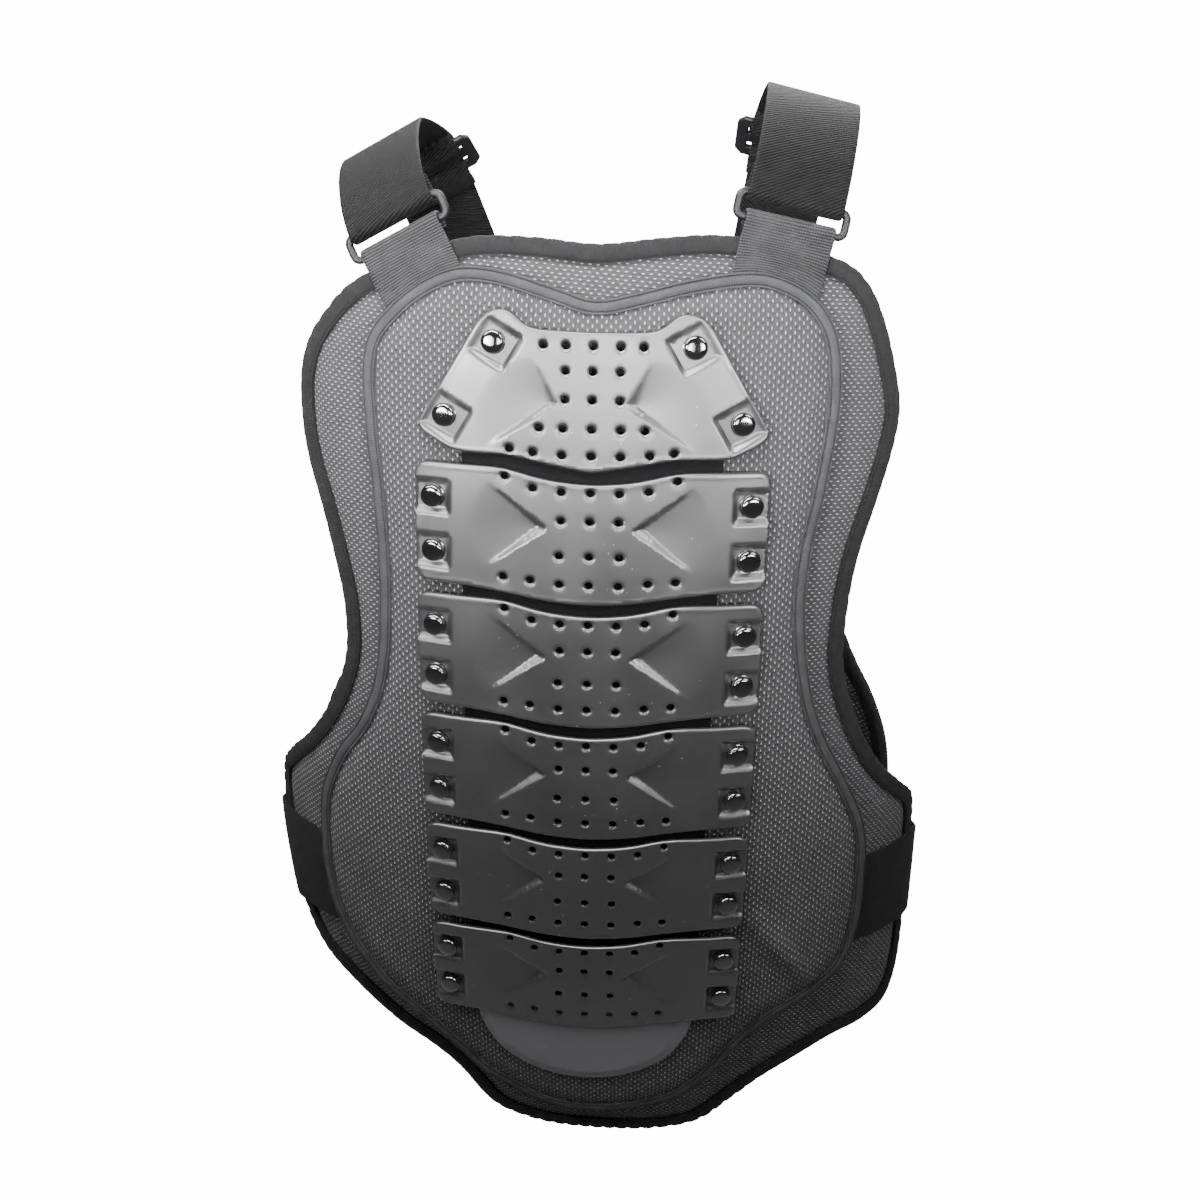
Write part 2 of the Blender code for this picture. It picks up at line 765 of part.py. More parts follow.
def snap_mesh():
    """One domed snap cap, turned about its own Z axis with its foot at the origin."""
    profile = ((1.0, 0.0), (1.0, 0.40), (0.58, 1.0))
    model = bmesh.new()
    rings = []
    for radius, rise in profile:
        ring = []
        for i in range(SNAP_SIDES):
            turn = 2 * math.pi * i / SNAP_SIDES
            reach = radius * SNAP_RADIUS
            ring.append(
                model.verts.new((reach * math.cos(turn), reach * math.sin(turn), rise * SNAP_HEIGHT))
            )
        rings.append(ring)
    model.faces.new(rings[0])
    model.faces.new(rings[-1])
    for low, high in zip(rings, rings[1:]):
        bmesh.ops.bridge_loops(model, edges=ring_edges(model, low) + ring_edges(model, high))
    bmesh.ops.recalc_face_normals(model, faces=model.faces)
    mesh = bpy.data.meshes.new("snap_cap")
    model.to_mesh(mesh)
    model.free()
    mesh.shade_smooth()
    mesh.set_sharp_from_angle(angle=math.radians(50))
    mesh.materials.append(finish("gloss_plastic"))
    return mesh


def ring_edges(model, ring):
    edges = []
    for index, vert in enumerate(ring):
        pair = (ring[index - 1], vert)
        edges.append(model.edges.get(pair) or model.edges.new(pair))
    return edges


def snaps(collar_top):
    mesh = snap_mesh()
    places = [("plate_1", out, height) for out, height, _ in collar_snaps(collar_top)]
    for index, top in enumerate(stack_tops()):
        for sign in (-1, 1):
            for down in STACK_SNAPS:
                out = sign * (PLATE_WIDTH / 2 - SNAP_INSET)
                places.append((f"plate_{index + 2}", out, top - down * PLATE_HEIGHT))
    seat = PLATE_SEAT + PLATE_THICK + SNAP_GAP
    for name, out, height in places:
        side = "left" if out < 0 else "right"
        level = "upper"
        if f"{name}_snap_{side}_upper" in bpy.data.objects:
            level = "lower"
        cap = add_object(f"{name}_snap_{side}_{level}", mesh, "gloss_plastic")
        foot = torso(out, height, seat)
        normal = (torso(out, height, seat + 1.0) - foot).normalized()
        cap.rotation_mode = "QUATERNION"
        cap.location = foot
        cap.rotation_quaternion = normal.to_track_quat("Z", "Y")


# Straps and elastic


class StrapPlan:
    """Where one shoulder strap's ring, arch and slider stand."""

    def __init__(self, row, inner_loop):
        self.side, self.sign, out, drop, lean, self.rise = row
        self.lean = math.radians(lean)
        self.place = np.array((self.sign * out, -drop))
        self.way = np.array((self.sign * math.sin(self.lean), math.cos(self.lean)))
        self.cross = np.array((math.cos(self.lean), -self.sign * math.sin(self.lean)))
        self.tuck_loop = inset(inner_loop, TUCK)
        self.bar_lift = WEB_BASE - BAR_GAP - BAR_RADIUS
        self.centre = torso(*self.place, self.bar_lift)
        step = 0.01
        left, right = (torso(*(self.place + self.cross * d), self.bar_lift) for d in (-step, step))
        low, high = (torso(*(self.place + self.way * d), self.bar_lift) for d in (-step, step))
        self.width = (right - left).normalized()
        self.normal = self.width.cross(high - low).normalized()
        self.up = self.normal.cross(self.width)
        half_bars = RING_BAR_SPACING / 2
        self.low_bar = self.centre - self.up * half_bars
        self.high_bar = self.centre + self.up * half_bars
        self.start = self.high_bar + self.normal * LOOP_RADIUS
        self.rise_way = Vector((self.sign * math.sin(self.lean), 0.0, math.cos(self.lean)))
        self.slider_turn = math.radians(SLIDER_TURN)
        point, width, normal = self.arch(self.slider_turn)
        self.rear_width, self.rear_normal = width, normal
        self.rear_up = width.cross(normal)
        self.rear_bar = point - normal * SLIDER_LOOP
        self.slider_centre = self.rear_bar - self.rear_up * (SLIDER_SLOT + SLIDER_BAR)
        self.rear_low_bar = self.slider_centre - self.rear_up * (SLIDER_SLOT + SLIDER_BAR)

    def arch(self, turn):
        """Centre, width direction and outward normal of the strap at a turn from 0 to pi."""
        point = self.start + self.rise_way * (self.rise * math.sin(turn))
        point.y = self.start.y * math.cos(turn)
        width = Vector((self.width.x, self.width.y * math.cos(turn), self.width.z)).normalized()
        along = self.rise_way * (self.rise * math.cos(turn))
        along.y = -self.start.y * math.sin(turn)
        normal = width.cross(along).normalized()
        return point, width, normal


def flat_station(centre, width, normal, spread, thick, strips=ACROSS):
    """One row across a strap: points at even steps over its width, on both its faces."""
    row = []
    for i in range(strips + 1):
        point = centre + width * (spread * (i / strips - 0.5))
        row.append((point - normal * (thick / 2), point + normal * (thick / 2)))
    return row


def round_bar(bar, up, normal, width, spread, thick, radius, start, end, strips=ACROSS):
    """Rows round a bar, from one angle to another: 0 is outwards and 90 is along `up`."""
    rows = []
    for step in range(LOOP_STEPS + 1):
        turn = math.radians(start + (end - start) * step / LOOP_STEPS)
        way = normal * math.cos(turn) + up * math.sin(turn)
        rows.append(flat_station(bar + way * radius, width, way, spread, thick, strips))
    return rows


def shoulder_strap(plan):
    """The wide strap: doubled back at the ring, over the shoulder, doubled back at the slider."""
    size = (STRAP_WIDTH, STRAP_THICK)
    close = STRAP_THICK + 2 * BAR_GAP

    def doubled(turn, share, loop):
        """A row of the layer that lies under the strap, this share of the way from its bar."""
        point, width, normal = plan.arch(turn)
        under = 2 * loop + (close - 2 * loop) * share**1.5
        return flat_station(point - normal * under, width, -normal, *size, 1)

    folded = STRAP_DOUBLED / math.hypot(plan.rise, plan.start.y)
    rows = []
    for step in range(FOLD_STEPS, 0, -1):
        share = step / FOLD_STEPS
        rows.append(doubled(folded * share, share, LOOP_RADIUS))
    rows += round_bar(
        plan.high_bar, plan.up, plan.normal, plan.width, *size, LOOP_RADIUS, -180.0, 0.0, 1
    )
    for step in range(1, ARCH_STEPS):
        turn = plan.slider_turn * step / ARCH_STEPS
        rows.append(flat_station(*plan.arch(turn), *size, 1))
    rows += round_bar(
        plan.rear_bar, plan.rear_up, plan.rear_normal, plan.rear_width, *size, SLIDER_LOOP, 0.0,
        -180.0, 1,
    )
    for step in range(1, FOLD_STEPS + 1):
        share = step / FOLD_STEPS
        rows.append(doubled(plan.slider_turn - folded * 0.5 * share, share, SLIDER_LOOP))
    slab(f"shoulder_strap_{plan.side}", rows, "black_webbing")


def strap_tab(plan):
    """The grey webbing tab from under the inner panel's band up round the ring's lower bar."""
    half_bars = RING_BAR_SPACING / 2
    top = -half_bars - 0.008
    lift = WEB_BASE + WEB_THICK / 2
    columns = []
    for i in range(ACROSS + 1):
        aside = WEB_WIDTH * (i / ACROSS - 0.5)
        reach = top
        while inside(plan.place + plan.cross * aside + plan.way * reach, plan.tuck_loop) is False:
            reach -= 0.0005
            if reach < top - 0.08:
                break
        columns.append((aside, reach))
    rows = []
    steps = 5
    for step in range(steps + 1):
        row = []
        for aside, foot in columns:
            along = foot + (top - foot) * step / steps
            place = plan.place + plan.cross * aside + plan.way * along
            row.append((torso(*place, WEB_BASE), torso(*place, WEB_BASE + WEB_THICK)))
        rows.append(row)
    radius = lift - plan.bar_lift
    rows += round_bar(
        plan.low_bar, plan.up, plan.normal, plan.width, WEB_WIDTH, WEB_THICK, radius, 0.0, 180.0
    )
    end = plan.low_bar - plan.up * 0.004 - plan.normal * radius
    rows.append(flat_station(end, plan.width, -plan.normal, WEB_WIDTH, WEB_THICK))
    slab(f"strap_tab_{plan.side}", rows, "grey_webbing")


def rear_web(plan, back_loop):
    """The webbing from the slider's lower bar down on to the back panel."""
    radius = SLIDER_LOOP
    up, normal, width = plan.rear_up, plan.rear_normal, plan.rear_width
    rows = [
        flat_station(
            plan.rear_low_bar - up * 0.012 - normal * radius, width, -normal, WEB_WIDTH,
            WEB_THICK,
        )
    ]
    rows += round_bar(
        plan.rear_low_bar, up, normal, width, WEB_WIDTH, WEB_THICK, radius, 180.0, 0.0
    )
    start = plan.rear_low_bar + normal * radius - up * 0.006
    rows.append(flat_station(start, width, normal, WEB_WIDTH, WEB_THICK))
    top = max(point[1] for point in back_loop) + 0.006
    bottom = top - REAR_WEB_SEWN
    fall = start.z - top
    out_top = abs(start.x) - fall * math.tan(plan.lean) * 0.75
    for share in (0.33, 0.66):
        landing = torso(plan.sign * out_top, top, BACK_WEB_BASE + WEB_THICK / 2, True)
        centre = start.lerp(landing, share)
        centre.y += 0.004 * math.sin(math.pi * share)
        rows.append(flat_station(centre, width, normal, WEB_WIDTH, WEB_THICK))
    for step in range(4):
        height = top + (bottom - top) * step / 3
        middle = plan.sign * (out_top + (height - top) * math.tan(plan.lean) * 0.4)
        row = []
        for i in range(ACROSS + 1):
            out = middle + WEB_WIDTH * (i / ACROSS - 0.5)
            row.append(
                (
                    torso(out, height, BACK_WEB_BASE, True),
                    torso(out, height, BACK_WEB_BASE + WEB_THICK, True),
                )
            )
        rows.append(row)
    slab(f"rear_web_{plan.side}", rows, "black_webbing")


def strap_ring(plan):
    """The moulded ring: a round bar bent into a long loop."""
    half_out = STRAP_WIDTH / 2 + RING_CLEARANCE + BAR_RADIUS
    half_up = RING_BAR_SPACING / 2
    bend = BAR_RADIUS * 1.6
    corners = ((1, 1), (-1, 1), (-1, -1), (1, -1))
    centres = []
    for index, (across, above) in enumerate(corners):
        for step in range(3):
            turn = math.pi / 2 * (index + step / 2)
            centres.append(
                (
                    plan.centre
                    + plan.width * (across * (half_out - bend) + bend * math.cos(turn))
                    + plan.up * (above * (half_up - bend) + bend * math.sin(turn)),
                    plan.width * math.cos(turn) + plan.up * math.sin(turn),
                )
            )
    model = bmesh.new()
    rings = []
    for centre, outward in centres:
        ring = []
        for side in range(6):
            turn = math.pi / 3 * side
            way = outward * math.cos(turn) + plan.normal * math.sin(turn)
            ring.append(model.verts.new(centre + way * BAR_RADIUS))
        rings.append(ring)
    for index, ring in enumerate(rings):
        before = rings[index - 1]
        for side in range(6):
            after = (side + 1) % 6
            model.faces.new((before[side], before[after], ring[after], ring[side]))
    link_model(f"strap_ring_{plan.side}", model, "gloss_plastic")


def strap_slider(plan):
    """The moulded three-bar slider behind the shoulder."""
    half_out = STRAP_WIDTH / 2 + RING_CLEARANCE
    edge = half_out + SLIDER_BAR
    half_up = 1.5 * SLIDER_BAR + SLIDER_SLOT
    cut = SLIDER_BAR * 0.6
    outline = [
        (-edge + cut, half_up), (-edge, half_up - cut), (-edge, -half_up + cut), (-edge + cut, -half_up),
        (edge - cut, -half_up), (edge, -half_up + cut), (edge, half_up - cut), (edge - cut, half_up),
    ]
    loops = [[(np.array(point), 0.0) for point in outline]]
    for sign in (-1, 1):
        near, far = sign * SLIDER_BAR / 2, sign * (SLIDER_BAR / 2 + SLIDER_SLOT)
        slot = [(-half_out, near), (half_out, near), (half_out, far), (-half_out, far)]
        loops.append([(np.array(point), 0.0) for point in slot])
    places, _, triangles = cover(loops, [], [])
    model = bmesh.new()
    faces = {}
    for face, offset in (("under", -SLIDER_THICK / 2), ("over", SLIDER_THICK / 2)):
        faces[face] = [
            model.verts.new(
                plan.slider_centre
                + plan.rear_width * across
                + plan.rear_up * above
                + plan.rear_normal * offset
            )
            for across, above in places
        ]
    rim = set()
    for a, b, c in triangles:
        model.faces.new([faces["over"][i] for i in (a, b, c)])
        model.faces.new([faces["under"][i] for i in (c, b, a)])
        for edge_pair in ((a, b), (b, c), (c, a)):
            if edge_pair[::-1] in rim:
                rim.remove(edge_pair[::-1])
            else:
                rim.add(edge_pair)
    for start, end in rim:
        corners = (faces["over"][start], faces["under"][start], faces["under"][end], faces["over"][end])
        model.faces.new(corners)
    link_model(f"strap_slider_{plan.side}", model, "gloss_plastic")


def waist_elastic(side, sign, inner_loop, outer_loop, back_loop):
    """The elastic band from under the inner panel's edge round the side on to the back panel."""
    tuck = inset(inner_loop, TUCK)
    heights = [-ELASTIC_DROP - ELASTIC_WIDTH * i / ELASTIC_ROWS for i in range(ELASTIC_ROWS + 1)]
    rows = []
    for step in range(6):
        row = []
        for height in heights:
            start, end = edge_out(tuck, height, sign), edge_out(outer_loop, height, sign)
            out = start + (end - start) * step / 5
            row.append(
                (torso(out, height, WEB_BASE), torso(out, height, WEB_BASE + ELASTIC_THICK))
            )
        rows.append(row)
    for step in range(5):
        row = []
        for height in heights:
            start, end = edge_out(back_loop, height, sign), sign * ELASTIC_BACK_END
            out = start + (end - start) * step / 4
            row.append(
                (
                    torso(out, height, BACK_WEB_BASE, True),
                    torso(out, height, BACK_WEB_BASE + ELASTIC_THICK, True),
                )
            )
        rows.append(row)
    slab(f"waist_elastic_{side}", rows, "black_elastic")


def build():
    for obj in list(bpy.data.objects):
        bpy.data.objects.remove(obj, do_unlink=True)
    outer_loop = panel_loop(OUTER_OUTLINE)
    inner_loop = panel_loop(INNER_OUTLINE)
    back_loop = panel_loop(BACK_OUTLINE)
    panel("front_outer_panel", outer_loop, BINDING_WIDTH + SEAM_GAP, 0.0, OUTER_THICK)
    binding("front_outer_binding", outer_loop, OUTER_THICK)
    panel("front_inner_panel", inner_loop, BAND_WIDTH + SEAM_GAP, INNER_BASE, INNER_THICK)
    edge_band("front_inner_band", inner_loop)
    panel("back_panel", back_loop, BINDING_WIDTH + SEAM_GAP, 0.0, BACK_THICK, True)
    binding("back_binding", back_loop, BACK_THICK, True)
    collar_top = chest_plates()
    hinge_tongues()
    tail_plate()
    snaps(collar_top)
    for row in STRAP_SIDES:
        plan = StrapPlan(row, inner_loop)
        shoulder_strap(plan)
        strap_tab(plan)
        strap_ring(plan)
        strap_slider(plan)
        rear_web(plan, back_loop)
        waist_elastic(plan.side, plan.sign, inner_loop, outer_loop, back_loop)


build()
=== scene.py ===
import math

import bmesh
import bpy
import numpy as np
from bpy.props import FloatProperty, FloatVectorProperty, IntProperty, PointerProperty
from mathutils import Matrix, Vector
from mathutils.geometry import delaunay_2d_cdt
from mathutils.kdtree import KDTree


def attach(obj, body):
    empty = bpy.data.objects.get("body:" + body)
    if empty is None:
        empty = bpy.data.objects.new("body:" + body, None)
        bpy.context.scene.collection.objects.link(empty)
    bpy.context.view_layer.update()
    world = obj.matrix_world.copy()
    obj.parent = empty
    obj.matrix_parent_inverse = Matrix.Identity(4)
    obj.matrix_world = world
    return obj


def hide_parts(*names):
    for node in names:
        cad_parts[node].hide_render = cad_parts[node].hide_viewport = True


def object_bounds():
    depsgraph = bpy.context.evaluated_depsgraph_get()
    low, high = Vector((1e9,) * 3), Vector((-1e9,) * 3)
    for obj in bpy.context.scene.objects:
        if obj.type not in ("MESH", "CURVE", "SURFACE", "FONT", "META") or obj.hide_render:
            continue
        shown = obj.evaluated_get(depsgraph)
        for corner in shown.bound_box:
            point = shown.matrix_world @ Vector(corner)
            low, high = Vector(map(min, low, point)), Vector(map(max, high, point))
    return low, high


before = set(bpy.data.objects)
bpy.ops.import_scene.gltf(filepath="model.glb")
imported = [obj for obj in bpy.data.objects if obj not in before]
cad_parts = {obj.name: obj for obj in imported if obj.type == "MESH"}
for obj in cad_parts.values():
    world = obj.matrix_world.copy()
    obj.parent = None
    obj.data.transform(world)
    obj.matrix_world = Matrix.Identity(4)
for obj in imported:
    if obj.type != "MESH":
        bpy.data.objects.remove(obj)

bl_info = {
    "name": "Armour vest looks",
    "version": (1, 0, 0),
    "blender": (4, 5, 0),
    "location": "View3D > Sidebar > Vest",
    "description": "Dresses the packed armour vest with cloth, moulded plates, caps and webbing",
    "category": "Add Mesh",
}

CAD_BOX = [list(corner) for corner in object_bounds()]
BODY = "root"
MM = 0.001

# Torso that every piece is bent over, the same as under the solids
TORSO_HALF_WIDTH = 0.180
TORSO_HALF_DEPTH = 0.090
PANEL_TOP = -0.064
PANEL_HEIGHT = 0.558
BELLY_SHARE = 0.351
TIP_LEAN = 0.0535
SIDE_FLARE = 0.0070
FLARE_START = 0.80
BELLY_Z = PANEL_TOP - BELLY_SHARE * PANEL_HEIGHT

# Thicknesses of the layers, from the torso outwards
OUTER_THICK = 0.0050
INNER_THICK = 0.0067
BACK_THICK = 0.0055
LAYER_GAP = 0.0008
INNER_BASE = OUTER_THICK + LAYER_GAP
PLATE_SEAT = INNER_BASE + INNER_THICK + LAYER_GAP
BINDING_WIDTH = 0.0090
BAND_WIDTH = 0.0070
BAND_THICK = 0.0034
WEB_BASE = 0.0058
BAND_BASE = 0.0080
BACK_WEB_BASE = 0.0063

# Chest plates
PLATE_WIDTH = 0.170
PLATE_HEIGHT = 0.061
PLATE_PITCH = 0.0675
PLATE_THICK = 0.0022
PLATE_RISE = 0.0026
PLATE_SAG = 0.0070
PLATE_CORNER = 0.0080
STACK_TOPS = [-0.173 - PLATE_PITCH * index for index in range(5)]
COLLAR_WIDTH = 0.165
COLLAR_HEIGHT = 0.076
COLLAR_TOP = STACK_TOPS[0] + COLLAR_HEIGHT - 0.001
CHEVRON_DEPTH = 0.0029
CHEVRON_WALL = 0.0048
GUIDE_SPACING = 0.0005
POCKET_HALF = 0.0092
POCKET_STEP = 0.0024
POCKET_SHIFT = 0.0045
KITE_HALF = 0.0078
KITE_STEP = 0.0022
KITE_SHIFT = 0.0015
TONGUE_WIDTH = 0.124
TONGUE_REACH = 0.0135
TAIL_WIDTH = 0.122
TAIL_HEIGHT = 0.068
TAIL_TOP = STACK_TOPS[-1] - PLATE_HEIGHT + 0.013
SNAP_RADIUS = 0.0061
SNAP_INSET = 0.0090

# Straps and their fittings
STRAP_WIDTH = 0.048
STRAP_THICK = 0.0018
STRAP_DOUBLED = 0.026
WEB_WIDTH = 0.045
BAR_RADIUS = 0.0020
BAR_GAP = 0.00035
RING_BAR_SPACING = 0.0115
SLIDER_BAR = 0.0064
SLIDER_THICK = 0.0030
SLIDER_SLOT = 0.0042
SLIDER_TURN = math.radians(146.0)
FOLD_FRONT = 0.13
FOLD_REAR = 0.05
ELASTIC_WIDTH = 0.060
ELASTIC_THICK = 0.0016
ELASTIC_DROP = 0.411
ELASTIC_BACK_END = 0.150
LOOP_RADIUS = BAR_RADIUS + BAR_GAP + STRAP_THICK / 2
SLIDER_LOOP = math.hypot(SLIDER_BAR / 2, SLIDER_THICK / 2) + BAR_GAP + STRAP_THICK / 2

# Front outer panel's outline: left out, left down, right out, right down, as shares of the
# quarter girth and of the panel's height
OUTER_OUTLINE = (
    (0.000, 0.006, 0.000, 0.006),
    (0.137, 0.002, 0.135, 0.000),
    (0.285, 0.004, 0.265, -0.003),
    (0.435, 0.023, 0.420, 0.005),
    (0.570, 0.048, 0.555, 0.020),
    (0.650, 0.077, 0.620, 0.041),
    (0.706, 0.106, 0.665, 0.072),
    (0.734, 0.140, 0.702, 0.111),
    (0.734, 0.183, 0.728, 0.151),
    (0.716, 0.219, 0.716, 0.190),
    (0.680, 0.260, 0.680, 0.238),
    (0.647, 0.306, 0.642, 0.287),
    (0.622, 0.355, 0.624, 0.340),
    (0.628, 0.409, 0.628, 0.400),
    (0.688, 0.464, 0.688, 0.464),
    (0.780, 0.511, 0.770, 0.515),
    (0.880, 0.545, 0.870, 0.552),
    (0.952, 0.577, 0.950, 0.584),
    (0.960, 0.624, 0.968, 0.647),
    (0.917, 0.683, 0.972, 0.719),
    (0.870, 0.738, 0.968, 0.785),
    (0.794, 0.778, 0.917, 0.832),
    (0.670, 0.815, 0.817, 0.850),
    (0.532, 0.857, 0.688, 0.862),
    (0.436, 0.882, 0.518, 0.903),
    (0.358, 0.912, 0.422, 0.939),
    (0.266, 0.966, 0.320, 0.980),
    (0.138, 0.991, 0.183, 0.996),
    (0.000, 0.998, 0.000, 0.998),
)

# Front inner panel's outline, in the same shares
INNER_OUTLINE = (
    (0.000, 0.052, 0.000, 0.052),
    (0.085, 0.043, 0.092, 0.045),
    (0.197, 0.031, 0.200, 0.034),
    (0.298, 0.029, 0.330, 0.027),
    (0.385, 0.043, 0.413, 0.034),
    (0.459, 0.066, 0.486, 0.052),
    (0.514, 0.093, 0.532, 0.081),
    (0.530, 0.130, 0.550, 0.122),
    (0.523, 0.181, 0.546, 0.165),
    (0.510, 0.235, 0.530, 0.215),
    (0.501, 0.294, 0.502, 0.280),
    (0.504, 0.360, 0.500, 0.340),
    (0.523, 0.416, 0.526, 0.407),
    (0.573, 0.466, 0.573, 0.462),
    (0.651, 0.511, 0.656, 0.525),
    (0.711, 0.565, 0.718, 0.582),
    (0.726, 0.624, 0.734, 0.647),
    (0.716, 0.683, 0.729, 0.706),
    (0.665, 0.738, 0.688, 0.754),
    (0.564, 0.792, 0.596, 0.785),
    (0.459, 0.828, 0.495, 0.812),
    (0.367, 0.862, 0.413, 0.846),
    (0.303, 0.892, 0.347, 0.888),
    (0.210, 0.921, 0.255, 0.925),
    (0.100, 0.945, 0.128, 0.946),
    (0.000, 0.952, 0.000, 0.952),
)

# Back panel's outline, in the same shares
BACK_OUTLINE = (
    (0.000, 0.145, 0.000, 0.145),
    (0.140, 0.138, 0.140, 0.138),
    (0.300, 0.128, 0.300, 0.128),
    (0.450, 0.131, 0.450, 0.131),
    (0.575, 0.150, 0.575, 0.150),
    (0.655, 0.185, 0.655, 0.185),
    (0.688, 0.230, 0.688, 0.230),
    (0.672, 0.280, 0.682, 0.280),
    (0.645, 0.335, 0.655, 0.335),
    (0.636, 0.390, 0.650, 0.390),
    (0.656, 0.435, 0.678, 0.435),
    (0.712, 0.478, 0.735, 0.478),
    (0.785, 0.515, 0.805, 0.515),
    (0.846, 0.560, 0.862, 0.560),
    (0.872, 0.625, 0.885, 0.625),
    (0.872, 0.700, 0.880, 0.700),
    (0.850, 0.768, 0.855, 0.768),
    (0.780, 0.815, 0.780, 0.815),
    (0.650, 0.845, 0.650, 0.845),
    (0.480, 0.868, 0.480, 0.868),
    (0.300, 0.884, 0.300, 0.884),
    (0.130, 0.892, 0.130, 0.892),
    (0.000, 0.895, 0.000, 0.895),
)

# Right half of the winged top plate, as shares of half its width and of its height: out, down
COLLAR_OUTLINE = (
    (0.000, 0.125),
    (0.300, 0.118),
    (0.375, 0.100),
    (0.455, 0.020),
    (0.510, 0.000),
    (0.585, 0.015),
    (0.655, 0.085),
    (0.985, 0.700),
    (1.000, 0.755),
    (0.970, 0.800),
    (0.810, 0.895),
    (0.740, 0.905),
    (0.470, 0.905),
    (0.240, 0.955),
    (0.000, 1.000),
)

# Air holes as shares of half a plate's width and of its height: down, outs
COLLAR_HOLES = (
    (0.210, (0.000, 0.152, 0.279)),
    (0.365, (0.000, 0.153)),
    (0.542, (0.000, 0.154)),
    (0.724, (0.000, 0.162, 0.298)),
    (0.893, (0.000, 0.165)),
    (0.880, (0.330,)),
    (0.862, (0.465,)),
)
STACK_HOLES = (
    (0.067, (0.476,)),
    (0.154, (0.320,)),
    (0.177, (0.000, 0.160)),
    (0.410, (0.000, 0.160)),
    (0.700, (0.000, 0.168)),
    (0.902, (0.484,)),
    (0.918, (0.330,)),
    (0.942, (0.000, 0.165)),
)

# Snaps, in the same shares: out and down of the top plate, down of a stack plate
COLLAR_SNAPS = ((0.564, 0.204), (0.848, 0.678))
STACK_SNAPS = (0.279, 0.734)

# Chevron creases: upper end, apex and lower end, in the same shares
COLLAR_CHEVRON = ((0.315, 0.310), (0.180, 0.570), (0.570, 0.838))
STACK_CHEVRON = ((0.540, 0.150), (0.228, 0.470), (0.545, 0.785))

# Right half of the tail plate, in the same shares: out, down
TAIL_OUTLINE = (
    (0.000, 0.000),
    (0.330, 0.000),
    (0.670, 0.000),
    (1.000, 0.000),
    (1.000, 0.250),
    (0.930, 0.470),
    (0.790, 0.690),
    (0.560, 0.860),
    (0.290, 0.965),
    (0.000, 1.000),
)

# Shoulder straps: side, sign of x, ring out, ring drop, lean in degrees, arch rise
STRAP_SIDES = (
    ("left", -1, 0.099, 0.064, 28.0, 0.0335),
    ("right", 1, 0.092, 0.053, 12.0, 0.0460),
)

# Length of a stitch with its gap, in millimetres
STITCH_PITCH = 3.0

# A cross pitch so long that the twill shows no cross thread, in millimetres
NO_CROSS_THREAD = 4000.0

# A soft fold of the inner panel beside the lowest plate: two ends in the flat pattern
PANEL_FOLD = ((0.088, -0.431), (0.128, -0.487))

ANGLES = np.linspace(0.0, math.pi / 2, 801)
GIRTHS = np.concatenate([[0.0], np.cumsum(np.hypot(
    np.diff(TORSO_HALF_WIDTH * np.sin(ANGLES)), np.diff(TORSO_HALF_DEPTH * np.cos(ANGLES))
))])
QUARTER_GIRTH = float(GIRTHS[-1])


class VestCloth(bpy.types.PropertyGroup):
    """Sizes and colours of the padded cloth and the webbing."""

    cell: FloatProperty(
        name="Cloth cell", description="Spacing of the points of a padded panel",
        default=0.0036, min=0.002, max=0.02, unit="LENGTH",
    )
    pucker_pitch: FloatProperty(
        name="Pucker pitch", description="Usual distance between two gathers of the binding",
        default=0.0092, min=0.002, max=0.05, unit="LENGTH",
    )
    pucker_depth: FloatProperty(
        name="Pucker depth", description="How deep a gather of the binding cuts in",
        default=0.0009, min=0.0, max=0.004, unit="LENGTH",
    )
    mesh_ground: FloatVectorProperty(
        name="Mesh ground", description="Colour of the air mesh between its threads",
        default=(0.027, 0.027, 0.0285), size=3, min=0.0, max=1.0, subtype="COLOR",
    )
    mesh_thread: FloatVectorProperty(
        name="Mesh thread", description="Colour of the light threads of the air mesh",
        default=(0.33, 0.33, 0.34), size=3, min=0.0, max=1.0, subtype="COLOR",
    )
    tape_colour: FloatVectorProperty(
        name="Tape", description="Colour of the gathered edge tape",
        default=(0.008, 0.008, 0.0085), size=3, min=0.0, max=1.0, subtype="COLOR",
    )
    band_colour: FloatVectorProperty(
        name="Band", description="Colour of the ribbed band round the inner panel",
        default=(0.036, 0.036, 0.038), size=3, min=0.0, max=1.0, subtype="COLOR",
    )
    strap_colour: FloatVectorProperty(
        name="Strap", description="Colour of the black twill straps",
        default=(0.0042, 0.0042, 0.0045), size=3, min=0.0, max=1.0, subtype="COLOR",
    )
    tab_colour: FloatVectorProperty(
        name="Tab", description="Colour of the grey strap tabs",
        default=(0.024, 0.024, 0.0255), size=3, min=0.0, max=1.0, subtype="COLOR",
    )


